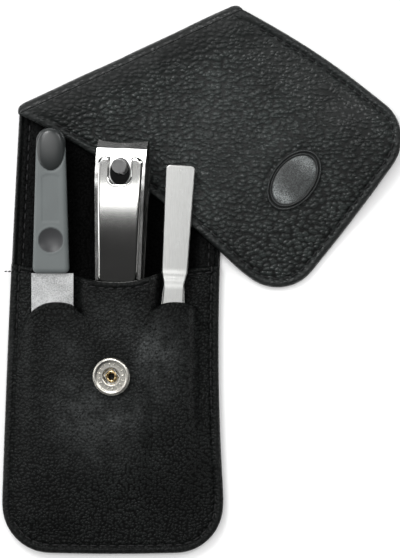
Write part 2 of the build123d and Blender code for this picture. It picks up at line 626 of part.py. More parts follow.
def arm(slope, side):
    profile = extrude(Plane.YZ * arm_profile(slope, side), CLIPPER_WIDTH, both=True)
    plan = clipper_outline(CLIPPER_WIDTH, CLIPPER_TAIL_WIDTH, 0, CLIPPER_LENGTH, JAW_HOLLOW)
    body = profile & slab(plan, UNDER, OVER)
    body -= Pos(0, RIVET_FROM_TAIL) * slab(Circle(REAR_RIVET_RADIUS + REAR_RIVET_FIT), UNDER, OVER)
    return body - Pos(0, PIN_FROM_TAIL) * slab(Circle(PIN_RADIUS + PIN_FIT), UNDER, OVER)


def open_jaw(body):
    """Turns the upper arm open about the tail's end."""
    pivot = Pos(0, 0, ARM_THICKNESS)
    return pivot * Rot(JAW_OPENING, 0, 0) * pivot.inverse() * body


def make_clipper():
    lower = arm(0, -1)
    upper = open_jaw(arm(UPPER_SLOPE, 1))
    for from_tail, radius in ((PIN_FROM_TAIL, PIN_HEAD_RADIUS), (RIVET_FROM_TAIL, REAR_RIVET_HEAD_RADIUS)):
        lower -= Pos(0, from_tail) * slab(Circle(radius + SEAT_GAP), UNDER, PIN_HEAD + SEAT_GAP)

    pin_top = 2 * JAW_PLANE + PIN_STANDS
    pin = slab(Circle(PIN_HEAD_RADIUS), 0, PIN_HEAD) + slab(Circle(PIN_RADIUS), 0, pin_top)
    block = Pos(0, 0, 2 * PIN_RADIUS) * Box(6 * PIN_RADIUS, 6 * PIN_RADIUS, 4 * PIN_RADIUS)
    pin -= Pos(0, 0, pin_top - PIN_NOTCH) * Rot(PIN_SLANT, 0, 0) * block
    notch = Box(4 * PIN_RADIUS, 4 * PIN_NOTCH, PIN_NOTCH)
    pin -= Pos(0, -PIN_RADIUS - PIN_NOTCH, pin_top - 2.8 * PIN_NOTCH) * notch
    pin = Pos(0, PIN_FROM_TAIL) * pin

    open_slope = UPPER_SLOPE + tan(radians(JAW_OPENING))
    rivet_top = 2 * ARM_THICKNESS + (RIVET_FROM_TAIL + REAR_RIVET_HEAD_RADIUS) * open_slope + SEAT_GAP
    rivet = slab(Circle(REAR_RIVET_HEAD_RADIUS), 0, PIN_HEAD)
    rivet += slab(Circle(REAR_RIVET_RADIUS), 0, rivet_top)
    rivet += slab(Circle(REAR_RIVET_HEAD_RADIUS), rivet_top, rivet_top + REAR_RIVET_HEAD)
    rivet = Pos(0, RIVET_FROM_TAIL) * rivet

    plan = clipper_outline(LEVER_WIDTH, LEVER_TAIL_WIDTH, LEVER_TAIL, LEVER_HEAD, 0.5 * JAW_HOLLOW)
    slot = RectangleRounded(LEVER_SLOT_WIDTH, LEVER_SLOT_LENGTH + LEVER_CORNER, LEVER_CORNER)
    plan -= Pos(0, LEVER_HEAD - (LEVER_SLOT_LENGTH - LEVER_CORNER) / 2) * slot
    plate = slab(plan, 0, LEVER_SHEET)
    upper_edges = plate.faces().sort_by(Axis.Z)[-1].outer_wire().edges()
    plate = chamfer(upper_edges, LEVER_BEVEL)
    slant = degrees(UPPER_SLOPE) + JAW_OPENING
    seat = 2 * ARM_THICKNESS + LEVER_GAP + LEVER_TAIL * tan(radians(slant))
    lever = Pos(0, LEVER_TAIL, seat) * Rot(slant, 0, 0) * Pos(0, -LEVER_TAIL, 0) * plate
    return [place_clipper(b) for b in (lower, upper, rivet, pin, lever)]


# ---- tweezers --------------------------------------------------------------------------------------------
def place_tweezers(body):
    x = TWEEZERS_HEAD[0] - TWEEZERS_LENGTH * sin(radians(TWEEZERS_LEAN))
    y = TWEEZERS_HEAD[1] - TWEEZERS_LENGTH * cos(radians(TWEEZERS_LEAN))
    return Pos(x, y, TOOL_FLOOR) * Rot(0, 0, -TWEEZERS_LEAN) * Rot(TOOL_ANGLE, 0, 0) * body


def tweezers_outline():
    end = TWEEZERS_LENGTH
    bend = end - TWEEZERS_BEND_FROM_HEAD
    neck = bend - TWEEZERS_BEND_LENGTH
    widest, grip_end = (neck - way for way in TWEEZERS_GRIP)
    head, bend_half, neck_half = TWEEZERS_HEAD_WIDTH / 2, TWEEZERS_BEND_WIDTH / 2, TWEEZERS_NECK_WIDTH / 2
    grip, tip = TWEEZERS_GRIP_WIDTH / 2, TWEEZERS_TIP_WIDTH / 2
    tapered = TWEEZERS_GRIP_TAPER * grip
    return make_face([
        Polyline((-neck_half, neck), (-bend_half, bend), (-head, end), (head, end)),
        Polyline((head, end), (bend_half, bend), (neck_half, neck)),
        ThreePointArc((neck_half, neck), (grip, widest), (tapered, grip_end)),
        Polyline((tapered, grip_end), (tip, TWEEZERS_TIP_SLANT), (-tip, 0), (-tapered, grip_end)),
        ThreePointArc((-tapered, grip_end), (-grip, widest), (-neck_half, neck)),
    ])


def tweezers_arm_profile(side):
    """Side view of one arm: flat at the welded head, a step outwards, then back in to the tip."""
    end = TWEEZERS_LENGTH
    bend = end - TWEEZERS_BEND_FROM_HEAD
    neck = bend - TWEEZERS_BEND_LENGTH
    turn = TWEEZERS_TIP_LENGTH
    middle = TWEEZERS_SHEET + TWEEZERS_STEP
    step, sheet = side * TWEEZERS_STEP, side * TWEEZERS_SHEET
    inner = [(end, 0), (bend, 0), (neck, step), (turn, step), (0, 0)]
    outer = [(0, sheet), (turn, step + sheet), (neck, step + sheet), (bend, sheet), (end, sheet)]
    return make_face(Polyline(*[(y, middle + z) for y, z in inner + outer], close=True))


def make_tweezers():
    plan = slab(tweezers_outline(), UNDER, OVER)
    corners = plan.edges().filter_by(Axis.Z).sort_by(Axis.Y)[-2:]
    plan = fillet(corners, TWEEZERS_CORNER)
    profiles = [Plane.YZ * tweezers_arm_profile(side) for side in (-1, 1)]
    back, front = (extrude(profile, TWEEZERS_HEAD_WIDTH, both=True) & plan for profile in profiles)
    pivot = Pos(0, TWEEZERS_LENGTH, TWEEZERS_SHEET + TWEEZERS_STEP + SEAT_GAP)
    front = pivot * Rot(-TWEEZERS_OPENING, 0, 0) * pivot.inverse() * Pos(0, 0, SEAT_GAP) * front
    return [place_tweezers(b) for b in (back, front)]


# ---- the parts -------------------------------------------------------------------------------------------
def make_all():
    parts = {}
    parts["back_leather"], parts["back_lining"] = make_back()
    parts["crease_leather"] = crease_roll(CREASE_INNER_RADIUS + LINING, ROLL_RADIUS)
    parts["crease_lining"] = crease_roll(CREASE_INNER_RADIUS, CREASE_INNER_RADIUS + LINING)
    parts["flap_leather"], parts["flap_lining"] = make_flap()
    parts["flap_badge"] = make_badge()
    parts["snap_stud"], parts["snap_stud_rivet"] = make_stud()
    parts["front_panel_leather"], parts["front_panel_lining"] = make_panel()
    shell, base, spring, eyelet = make_socket()
    parts["snap_socket_cap"] = shell
    parts["snap_socket_base"] = base
    parts["snap_socket_spring"] = spring
    parts["snap_socket_eyelet"] = eyelet
    parts["file_blade"], parts["file_handle"] = make_file()
    lower, upper, rivet, pin, lever = make_clipper()
    parts["clipper_lower_arm"] = lower
    parts["clipper_upper_arm"] = upper
    parts["clipper_rear_rivet"] = rivet
    parts["clipper_pin"] = pin
    parts["clipper_lever"] = lever
    parts["tweezers_back_arm"], parts["tweezers_front_arm"] = make_tweezers()
    return parts


def main():
    os.makedirs("parts", exist_ok=True)
    for name, body in make_all().items():
        export_step(body, f"parts/{name}.step")


if __name__ == "__main__":
    main()
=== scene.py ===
# %% [markdown]
# # A pocket manicure case, lying open on its back
#
# The case is one long strip of black leather with a thin lining. Its lower part carries a stitched pocket,
# and its upper part, the flap, is folded over on a slanting crease and lies beside it, grained side up. A
# nail file, a nail clipper and a pair of tweezers stand in the pocket. This notebook dresses the measured
# model: metal and plastic pieces keep their measured shape and get a finish, and the leather is modelled
# again, softer than a drawing can say it. Sizes are written in millimetres and turned into metres where a
# mesh is made.

import math

import bmesh
import bpy
import numpy as np
from mathutils import Matrix, Vector, noise


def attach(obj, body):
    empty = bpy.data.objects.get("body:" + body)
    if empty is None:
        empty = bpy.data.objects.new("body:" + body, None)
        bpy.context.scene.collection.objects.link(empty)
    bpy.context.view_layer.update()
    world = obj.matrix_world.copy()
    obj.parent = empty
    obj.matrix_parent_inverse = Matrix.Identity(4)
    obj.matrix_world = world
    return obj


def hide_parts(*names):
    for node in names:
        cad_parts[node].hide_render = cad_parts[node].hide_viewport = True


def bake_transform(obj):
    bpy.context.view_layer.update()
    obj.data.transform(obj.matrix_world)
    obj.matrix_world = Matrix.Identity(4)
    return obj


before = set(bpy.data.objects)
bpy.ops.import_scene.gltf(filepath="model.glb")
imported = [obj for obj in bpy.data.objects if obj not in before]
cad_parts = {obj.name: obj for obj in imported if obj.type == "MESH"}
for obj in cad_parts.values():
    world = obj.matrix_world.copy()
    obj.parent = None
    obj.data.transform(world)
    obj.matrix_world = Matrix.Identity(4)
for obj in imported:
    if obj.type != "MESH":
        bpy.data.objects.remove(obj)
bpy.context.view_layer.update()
MM = 0.001

# %% [markdown]
# ## Helpers for materials
#
# A finish is a Principled shader fed by a few pattern nodes. Patterns that more than one finish uses are
# built once as node groups. They read Object coordinates, which here are the case's own metres, so a pebble
# of leather has its true size on every piece and runs on from one piece to the next.


# %% Small helpers that wire nodes together
def new_material(name):
    material = bpy.data.materials.new(name)
    material.use_nodes = True
    tree = material.node_tree
    where = tree.nodes.new("ShaderNodeTexCoord").outputs["Object"]
    return material, tree, tree.nodes["Principled BSDF"], where


def feed(tree, made, inputs):
    """Gives a node its inputs: a link where the value is another node's output, and else the value itself."""
    for key, value in inputs.items():
        if isinstance(value, bpy.types.NodeSocket):
            tree.links.new(value, made.inputs[key])
        else:
            made.inputs[key].default_value = value


def node(tree, kind, inputs, **settings):
    made = tree.nodes.new(kind)
    for key, value in settings.items():
        setattr(made, key, value)
    feed(tree, made, inputs)
    return made


def ramp(tree, value, stops):
    made = node(tree, "ShaderNodeValToRGB", {"Fac": value})
    for element, (place, colour) in zip(made.color_ramp.elements, stops):
        element.position = place
        element.color = (*colour, 1.0)
    return made.outputs["Color"]


def sums(tree, operation, first, second):
    return node(tree, "ShaderNodeMath", {0: first, 1: second}, operation=operation).outputs[0]


def vectors(tree, operation, first, second):
    return node(tree, "ShaderNodeVectorMath", {0: first, 1: second}, operation=operation).outputs[0]


def mapped(tree, value, low, high, new_low=0.0, new_high=1.0, **settings):
    """The value's range from low to high, stretched to a new range."""
    inputs = {"Value": value, "From Min": low, "From Max": high, "To Min": new_low, "To Max": new_high}
    return node(tree, "ShaderNodeMapRange", inputs, **settings).outputs[0]


def clouds(tree, where, scale, detail, roughness=0.5):
    inputs = {"Vector": where, "Scale": scale, "Detail": detail, "Roughness": roughness}
    return node(tree, "ShaderNodeTexNoise", inputs).outputs["Fac"]


def domed_cells(tree, where, scale, smoothness, randomness, edge):
    """Rounded cells: 1 on a cell's top, falling softly to 0 at this distance from it."""
    inputs = {"Vector": where, "Scale": scale, "Smoothness": smoothness, "Randomness": randomness}
    cells = node(tree, "ShaderNodeTexVoronoi", inputs, feature="SMOOTH_F1", voronoi_dimensions="2D")
    return mapped(tree, cells.outputs["Distance"], edge, 0.1, interpolation_type="SMOOTHSTEP")


def mixed(tree, share, first, second):
    """The first colour where share is 0, the second where it is 1."""
    return node(tree, "ShaderNodeMix", {0: share, 6: first, 7: second}, data_type="RGBA").outputs[2]


def bumps(tree, height, depth):
    inputs = {"Height": height, "Strength": 1.0, "Distance": depth}
    return node(tree, "ShaderNodeBump", inputs).outputs["Normal"]


def painted(tree, attribute):
    """A value that the mesh carries at its points."""
    return node(tree, "ShaderNodeAttribute", {}, attribute_name=attribute).outputs["Fac"]


def new_group(name, inputs, outputs):
    group = bpy.data.node_groups.new(name, "ShaderNodeTree")
    for key, kind in inputs:
        group.interface.new_socket(key, in_out="INPUT", socket_type=kind)
    for key in outputs:
        group.interface.new_socket(key, in_out="OUTPUT", socket_type="NodeSocketFloat")
    return group, group.nodes.new("NodeGroupInput").outputs, group.nodes.new("NodeGroupOutput")


print("node helpers ready")

# %% [markdown]
# ## Camera and light
#
# The case is seen from straight above. A long lens from over a metre away keeps the tools' raised heads in
# line with their feet.

# %% The camera above the table
VIEW_CENTRE = (26.46, 15.69)
VIEW_WIDTH = 123.08
CAMERA_HEIGHT = 1200.0
LEATHER_LEVEL = 4.0
SENSOR_WIDTH = 36.0


def new_object(name, data):
    """An object that shows some data, linked into the scene."""
    piece = bpy.data.objects.new(name, data)
    bpy.context.scene.collection.objects.link(piece)
    return piece


lens = bpy.data.cameras.new("top_view")
lens.sensor_fit = "HORIZONTAL"
lens.sensor_width = SENSOR_WIDTH
lens.lens = SENSOR_WIDTH * (CAMERA_HEIGHT - LEATHER_LEVEL) / VIEW_WIDTH
lens.clip_end = 10.0
camera = new_object("top_view", lens)
camera.location = Vector((*VIEW_CENTRE, CAMERA_HEIGHT)) * MM
bpy.context.scene.camera = camera
bpy.context.scene.view_settings.view_transform = "Standard"
print("lens", round(lens.lens), "mm")

# %% [markdown]
# The light is a plain studio. The room is bright and even, but mirrors nearly dark in polished things, so
# that steel shows only its lamps. Three windows rake over the leather and let its grain cast small shadows.
# Five long strips hang over the table side by side, some bright and some faint: the bowed lever mirrors a
# different one at each place along it, which makes its bands of light and dark.

# %% The room and its lamps, in metres
ROOM_LEVEL, MIRRORED_LEVEL = 0.78, 0.028
STRIP_X, STRIP_HEIGHT, STRIP_LENGTH = -0.3, 1.35, 1.3
STRIPS = [("overhead_strip", -0.025, 0.104, 1.4), ("strip_edge", -0.101, 0.048, 0.05),
          ("strip_glow", -0.1575, 0.065, 0.02), ("strip_side", 0.1125, 0.155, 0.32),
          ("far_strip", 0.35, 0.2, 3.2)]  # name, y, width and power


def lamp(name, place, target, size, power):
    data = bpy.data.lights.new(name, "AREA")
    data.shape = "RECTANGLE"
    data.size, data.size_y = size
    data.energy = power
    piece = new_object(name, data)
    piece.location = Vector(place)
    piece.rotation_euler = (Vector(target) - Vector(place)).to_track_quat("-Z", "Y").to_euler()


room = bpy.data.worlds.new("studio_room")
room.use_nodes = True
tree = room.node_tree
mirrored = node(tree, "ShaderNodeLightPath", {}).outputs["Is Glossy Ray"]
level = mapped(tree, mirrored, 0.0, 1.0, ROOM_LEVEL, MIRRORED_LEVEL)
feed(tree, tree.nodes["Background"], {"Color": (1.0, 1.0, 1.0, 1.0), "Strength": level})
bpy.context.scene.world = room
lamp("soft_window", (-0.3, 0.5, 0.6), (0.02, 0.02, 0.0), (0.34, 0.26), 3.2)
for name, y, width, power in STRIPS:
    lamp(name, (STRIP_X, y, STRIP_HEIGHT), (STRIP_X, y, 0.0), (STRIP_LENGTH, width), power)
lamp("low_window", (-0.7, 0.05, 0.3), (0.02, 0.02, 0.0), (0.3, 0.2), 0.8)
lamp("right_window", (0.5, 0.42, 0.6), (0.03, 0.03, 0.0), (0.2, 0.2), 1.0)
print("room with", len(STRIPS), "strips and 3 windows")

# %% The pale table
white, tree, shader, where = new_material("white_table")
feed(tree, shader, {"Base Color": (0.9, 0.9, 0.9, 1.0), "Roughness": 0.9, "Specular IOR Level": 0.2})
table = bmesh.new()
bmesh.ops.create_grid(table, x_segments=2, y_segments=2, size=1.6)
table_mesh = bpy.data.meshes.new("table")
table.to_mesh(table_mesh)
table.free()
table_mesh.materials.append(white)
table_piece = new_object("table", table_mesh)
table_piece.location = (0.0, 0.0, -0.0002)
print("table ready")

# %% [markdown]
# ### Leather grain
#
# Cowhide is covered in small domed cells with narrow valleys between them. A Voronoi texture gives each
# point's distance from the middle of its cell, which is turned over into a dome, and a little noise bends
# the cells so that no two are alike. A second, finer layer wrinkles the domes. The group gives a height for
# the bump and a share for the valleys, which are kept dull and get painted shade: their colour is darkened.

# %% The grain group
grain, have, give = new_group(
    "leather_grain",
    [("Place", "NodeSocketVector"), ("Cells per Metre", "NodeSocketFloat"), ("Stretch", "NodeSocketVector"),
     ("Fine Wrinkle", "NodeSocketFloat")], ["Height", "Valley"])
stretched = vectors(grain, "MULTIPLY", have["Place"], have["Stretch"])
bend_inputs = {"Vector": stretched, "Scale": 260.0, "Detail": 2.0}
bend = node(grain, "ShaderNodeTexNoise", bend_inputs).outputs["Color"]
bent = vectors(grain, "ADD", stretched, vectors(grain, "MULTIPLY", bend, (0.0018,) * 3))
domes = domed_cells(grain, bent, have["Cells per Metre"], 0.25, 0.9, 0.66)
fine_domes = domed_cells(grain, bent, sums(grain, "MULTIPLY", have["Cells per Metre"], 2.7), 0.3, 1.0, 0.6)
wrinkled = sums(grain, "ADD", domes, sums(grain, "MULTIPLY", fine_domes, have["Fine Wrinkle"]))
feed(grain, give, {"Height": wrinkled, "Valley": mapped(grain, domes, 0.0, 0.45, 1.0, 0.0)})
print("grain group ready")

# %% [markdown]
# ### Black leathers
#
# The flap has coarse pebbles, the pocket a fine tight grain, and the lining is thin and nearly smooth. All
# three are the same recipe with other numbers. Large soft noise varies the sheen, because leather shines
# where hands and tools have rubbed it. Each leather piece also carries two painted values. "smoothness"
# flattens and darkens the grain where the hide is stretched over a fold or pressed under a hem, and the
# second is a painted sheen: it pales the colour where highlights are painted on.

# %% One recipe for the three leathers
# the grey that the painted sheen pales the leathers towards
PAINTED_SHEEN_COLOUR = (0.078, 0.084, 0.084, 1.0)


def leather(name, cells_per_metre, stretch, depth, wrinkle, colour, shine, scuff, specular):
    """depth in metres. colour is the fresh hide's, and scuff is how much brighter its worn clouds are."""
    material, tree, shader, where = new_material(name)
    pattern = node(tree, "ShaderNodeGroup", {"Place": where, "Cells per Metre": cells_per_metre,
                                             "Stretch": stretch, "Fine Wrinkle": wrinkle}, node_tree=grain)
    smoothness = painted(tree, "smoothness")
    rough_left = mapped(tree, smoothness, 0.0, 1.0, 1.0, 0.1)
    creases = sums(tree, "MULTIPLY", clouds(tree, where, 420.0, 4.0, 0.7), 0.35)
    relief = sums(tree, "ADD", sums(tree, "MULTIPLY", pattern.outputs["Height"], rough_left), creases)
    broad = clouds(tree, where, 70.0, 3.0, 0.6)
    dull = sums(tree, "MULTIPLY", pattern.outputs["Valley"], 0.25)
    dark = (*(0.3 * c for c in colour), 1.0)
    tone = ramp(tree, broad, [(0.3, colour), (0.75, [scuff * c for c in colour])])
    drawn = mixed(tree, mapped(tree, smoothness, 0.0, 0.9, 0.0, 0.75), tone, dark)
    # painted shade: the grain's valleys are darkened towards the dark colour
    valley_shaded_colour = mixed(tree, sums(tree, "MULTIPLY", pattern.outputs["Valley"], rough_left), drawn, dark)
    flecks = mapped(tree, clouds(tree, where, 1400.0, 2.5, 0.6), 0.3, 0.8)
    # painted sheen: the colour pales towards that grey where the painted value is high, in fine specks
    with_painted_sheen = mixed(tree, sums(tree, "MULTIPLY", painted(tree, "painted_sheen_and_shade"), flecks), valley_shaded_colour, PAINTED_SHEEN_COLOUR)
    feed(tree, shader, {
        "Base Color": with_painted_sheen, "Normal": bumps(tree, relief, depth), "Specular IOR Level": specular,
        "Roughness": sums(tree, "ADD", mapped(tree, broad, 0.3, 0.7, shine + 0.07, shine - 0.07), dull)})
    return material


FLAP_LEATHER = leather("pebbled_leather", 720.0, (0.8, 1.1, 1.0), 0.0004, 0.1, (0.0115, 0.0138, 0.0132),
                       shine=0.37, scuff=2.5, specular=0.36)
PANEL_LEATHER = leather("fine_leather", 1100.0, (1.0, 1.0, 1.0), 0.00021, 0.15, (0.0036, 0.0042, 0.004),
                        shine=0.44, scuff=2.6, specular=0.16)
# the lining's near-black colour is partly its own black and partly painted shade for the deep pockets between
# the tools
LINING = leather("lining_leather", 1300.0, (1.0, 1.0, 1.0), 0.0001, 0.4, (0.0009, 0.0009, 0.0009),
                 shine=0.62, scuff=1.5, specular=0.06)


def badge_leather():
    """Pressed leather with a painted silvery sheen, as strong as the painted value "sheen" says."""
    material, tree, shader, where = new_material("badge_leather")
    speck = clouds(tree, where, 2600.0, 3.0, 0.7)
    uneven = sums(tree, "ADD", 0.1, sums(tree, "MULTIPLY", clouds(tree, where, 420.0, 2.0), 1.5))
    spotted = sums(tree, "ADD", 0.2, mapped(tree, speck, 0.42, 0.6))
    share = sums(tree, "MULTIPLY", sums(tree, "MULTIPLY", painted(tree, "sheen"), uneven), spotted)
    tone = ramp(tree, share, [(0.0, (0.008, 0.009, 0.009)), (1.0, (0.24, 0.26, 0.26))])
    feed(tree, shader, {"Base Color": tone, "Normal": bumps(tree, speck, 0.00012), "Roughness": 0.4})
    return material


BADGE_LEATHER = badge_leather()
print("leathers ready")

# %% [markdown]
# ### Metals and plastics
#
# Brushed steel is a metal whose tiny scratches all run one way. Stretched noise gives the scratches: very
# fine across and long along. They roughen the surface a little, change its tone a little, and tip its normal
# a little.

# %% The brushed group
brushed, have, give = new_group(
    "brushed_lines",
    [("Place", "NodeSocketVector"), ("Stretch", "NodeSocketVector"), ("Lines per Metre", "NodeSocketFloat")],
    ["Lines", "Clouds"])
pulled = vectors(brushed, "MULTIPLY", have["Place"], have["Stretch"])
feed(brushed, give, {"Lines": clouds(brushed, pulled, have["Lines per Metre"], 3.0, 0.65),
                     "Clouds": clouds(brushed, have["Place"], 160.0, 2.0)})


# %% Recipes for metal and plastic
def metal(name, colour, roughness, stretch=(1.0, 0.04, 1.0), lines_per_metre=5000.0, depth=0.000006,
          variation=0.1):
    """depth in metres. variation is how much wear changes the tone and the roughness."""
    material, tree, shader, where = new_material(name)
    pattern = node(tree, "ShaderNodeGroup", {"Place": where, "Stretch": stretch,
                                             "Lines per Metre": lines_per_metre}, node_tree=brushed)
    wear = sums(tree, "ADD", sums(tree, "MULTIPLY", pattern.outputs["Lines"], 0.6),
                sums(tree, "MULTIPLY", pattern.outputs["Clouds"], 0.4))
    darker = [c * (1 - 1.6 * variation) for c in colour]
    feed(tree, shader, {
        "Base Color": ramp(tree, wear, [(0.38, darker), (0.6, colour)]), "Metallic": 1.0,
        "Normal": bumps(tree, pattern.outputs["Lines"], depth),
        "Roughness": mapped(tree, wear, 0.35, 0.65, roughness - 0.6 * variation, roughness + variation)})
    return material


def plastic(name, colour, roughness, grain_depth, specular=0.5):
    material, tree, shader, where = new_material(name)
    handled = clouds(tree, where, 120.0, 4.0)
    feed(tree, shader, {
        "Base Color": ramp(tree, handled, [(0.3, colour), (0.7, [1.12 * c for c in colour])]),
        "Normal": bumps(tree, clouds(tree, where, 2600.0, 3.0, 0.6), grain_depth),
        "Roughness": mapped(tree, handled, 0.3, 0.7, roughness - 0.05, roughness + 0.06),
        "Specular IOR Level": specular})
    return material


def recoloured(material, share, colour):
    """Blends a material's own colour into another one, where the share is above 0."""
    tree = material.node_tree
    base = tree.nodes["Principled BSDF"].inputs["Base Color"]
    tree.links.new(mixed(tree, share, base.links[0].from_socket, (*colour, 1.0)), base)


EVEN = (1.0, 1.0, 1.0)
CLIPPER_STEEL = metal("clipper_steel", (0.66, 0.66, 0.65), 0.2, variation=0.07)
UPPER_ARM_STEEL = metal("upper_arm_steel", (0.66, 0.66, 0.65), 0.2, variation=0.07)
LEVER_STEEL = metal("lever_steel", (0.72, 0.72, 0.7), 0.11, depth=0.0000003, variation=0.01)
PIN_STEEL = metal("pin_steel", (0.95, 0.95, 0.95), 0.5)
TWEEZERS_STEEL = metal("tweezers_steel", (0.68, 0.685, 0.67), 0.34, depth=0.00001, variation=0.12)
FILE_STEEL = metal("file_steel", (0.93, 0.94, 0.94), 0.42, (1.0, 0.9, 1.0), 2700.0, 0.00012, 0.3)
NICKEL = metal("nickel_plate", (0.97, 0.94, 0.86), 0.33, EVEN, 1500.0, variation=0.05)
BRASS = metal("eyelet_brass", (0.78, 0.6, 0.33), 0.22, EVEN, 1500.0, variation=0.05)
SPRING = metal("spring_wire", (0.55, 0.55, 0.54), 0.3, EVEN, variation=0.05)
HANDLE = plastic("handle_plastic", (0.1, 0.112, 0.112), 0.4, 0.000012)
# painted shade: the thumb dish is blended into a darker grey where the painted value says so
recoloured(HANDLE, painted(HANDLE.node_tree, "painted_sheen_and_shade"), (0.04, 0.041, 0.043))
KNOB = plastic("knob_plastic", (0.018, 0.021, 0.021), 0.37, 0.000004, specular=0.85)
THREAD = plastic("black_thread", (0.008, 0.008, 0.0085), 0.7, 0.00006, specular=0.4)
print("metals and plastics ready")

# %% [markdown]
# ## Give the measured pieces their finishes
#
# Ten metal pieces keep their measured shapes. The others get new shapes further down.

# %% Finishes of the carried-over pieces
FINISHES = {
    "clipper_lower_arm": CLIPPER_STEEL, "clipper_rear_rivet": CLIPPER_STEEL,
    "clipper_upper_arm": UPPER_ARM_STEEL, "clipper_pin": PIN_STEEL, "tweezers_back_arm": TWEEZERS_STEEL,
    "file_blade": FILE_STEEL, "snap_stud": NICKEL, "snap_stud_rivet": NICKEL, "snap_socket_base": NICKEL,
    "snap_socket_spring": SPRING,
}
for name, material in FINISHES.items():
    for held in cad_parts[name].material_slots:
        held.material = material
print(len(FINISHES), "pieces have their finish")

# %% [markdown]
# ## Outlines
#
# Every soft piece starts as a flat outline in millimetres. An outline is walked by length, so that a grid
# can be laid inside it: four sides are each cut into the same fractions, and every inner point is the
# average of the four sides' pull. That is called a Coons patch, and it makes rows that run parallel to every
# edge.

# %% Curves as lists of points
def arc(first, through, last, steps=48):
    """Points of the circle's arc from first over through to last."""
    (ax, ay), (bx, by), (cx, cy) = first, through, last
    d = 2 * (ax * (by - cy) + bx * (cy - ay) + cx * (ay - by))
    ux = ((ax**2 + ay**2) * (by - cy) + (bx**2 + by**2) * (cy - ay) + (cx**2 + cy**2) * (ay - by)) / d
    uy = ((ax**2 + ay**2) * (cx - bx) + (bx**2 + by**2) * (ax - cx) + (cx**2 + cy**2) * (bx - ax)) / d
    radius = math.hypot(ax - ux, ay - uy)
    start, middle, end = (math.atan2(y - uy, x - ux) for x, y in (first, through, last))
    turn = (end - start) % math.tau
    if (middle - start) % math.tau > turn:
        turn -= math.tau
    return [(ux + radius * math.cos(start + turn * i / steps), uy + radius * math.sin(start + turn * i / steps))
            for i in range(steps + 1)]


def rounded(before, after, radius, steps=16):
    """Rounds the corner in which two point lists meet. Returns before, corner and after."""
    corner = Vector(before[-1])
    into = (Vector(before[-1]) - Vector(before[-2])).normalized()
    out = (Vector(after[1]) - Vector(after[0])).normalized()
    angle = math.acos(max(-1.0, min(1.0, into.dot(out))))
    reach = radius * math.tan(angle / 2)
    side = 1.0 if into.x * out.y - into.y * out.x > 0 else -1.0
    start = corner - into * reach
    centre = start + Vector((-into.y, into.x)) * radius * side
    first = math.atan2(start.y - centre.y, start.x - centre.x)
    bow = [(centre.x + radius * math.cos(first + side * angle * i / steps),
            centre.y + radius * math.sin(first + side * angle * i / steps)) for i in range(steps + 1)]
    return ([p for p in before if (Vector(p) - corner).length > reach], bow,
            [p for p in after if (Vector(p) - corner).length > reach])


def walker(points):
    """A function from a fraction of the whole length to the point there."""
    path = np.array(points, float)
    along = np.concatenate([[0.0], np.cumsum(np.hypot(*np.diff(path, axis=0).T))])

    def at(fraction):
        way = np.asarray(fraction) * along[-1]
        return np.stack([np.interp(way, along, path[:, i]) for i in range(path.shape[1])], axis=-1)

    at.length = along[-1]
    return at


def softened(values, rounds):
    """Each inner value moved towards its neighbours' mean, round after round."""
    for _ in range(rounds):
        values[1:-1] = 0.25 * values[:-2] + 0.5 * values[1:-1] + 0.25 * values[2:]
    return values


def even(points):
    """The same line with a point every half millimetre, and its small kinks smoothed away."""
    at = walker(points)
    return softened(at(np.linspace(0.0, 1.0, int(at.length / 0.5))), 30)


def split(path, places):
    """The line cut at its points nearest to some places: a list of point lists that share their ends."""
    cuts = [0] + [int(np.argmin(np.hypot(*(path - np.array(place)).T))) for place in places] + [len(path) - 1]
    return [[tuple(point) for point in path[a : b + 1]] for a, b in zip(cuts, cuts[1:])]


def graded(length, rim=4.6, fine=0.32, coarse=0.9):
    """Fractions of a length: close together near both ends, wider apart in the middle."""
    near = np.arange(0.0, rim, fine)
    middle = np.linspace(rim, length - rim, int((length - 2 * rim) / coarse))
    return np.concatenate([near, middle, length - near[::-1]]) / length


def patch(outline, across, upward):
    """Points of a Coons patch. Of the outline's sides low and high run rightwards, left and right run up."""
    low, right, high, left = (walker(side) for side in outline)
    s, t = np.meshgrid(across, upward)
    s, t = s[..., None], t[..., None]
    sides = (1 - t) * low(across)[None] + t * high(across)[None]
    sides = sides + (1 - s) * left(upward)[:, None] + s * right(upward)[:, None]
    low_corners = (1 - s) * (1 - t) * low(0.0) + s * (1 - t) * low(1.0)
    return sides - low_corners - (1 - s) * t * high(0.0) - s * t * high(1.0)


def distance_to(points, path):
    """Distance of every point from a polyline, in the plan."""
    path = np.array(path, float)[:, :2]
    flat = points.reshape(-1, points.shape[-1])[:, :2]
    best = np.full(len(flat), 1e9)
    for start, end in zip(path[:-1], path[1:]):
        run = end - start
        share = np.clip((flat - start) @ run / max(run @ run, 1e-12), 0.0, 1.0)
        best = np.minimum(best, np.hypot(*(flat - start - share[:, None] * run).T))
    return best.reshape(points.shape[:-1])


def inset_path(points, inset):
    """An outline moved to its left by inset."""
    path = np.array(points, float)[:, :2]
    run = np.gradient(path, axis=0)
    run /= np.maximum(np.hypot(*run.T), 1e-9)[:, None]
    return path + inset * np.stack([-run[:, 1], run[:, 0]], axis=-1)


def three_sides(first, middle, last, radius):
    """Three edges that meet in two corners: the corners are rounded, the whole is evened and cut there."""
    first, low_bow, middle = rounded(first, middle, radius)
    middle, high_bow, last = rounded(middle, last, radius)
    half = len(low_bow) // 2
    return split(even(first + low_bow + middle + high_bow + last), (low_bow[half], high_bow[half]))


def drawn_in(sides, inset):
    """The line round three such sides, moved in by inset, and the three sides of it."""
    first, middle, last = sides
    edge = inset_path(first + middle[1:] + last[1:], inset)
    a, b = len(first) - 1, len(first) + len(middle) - 2
    return edge, edge[: a + 1], edge[a : b + 1], edge[b:]


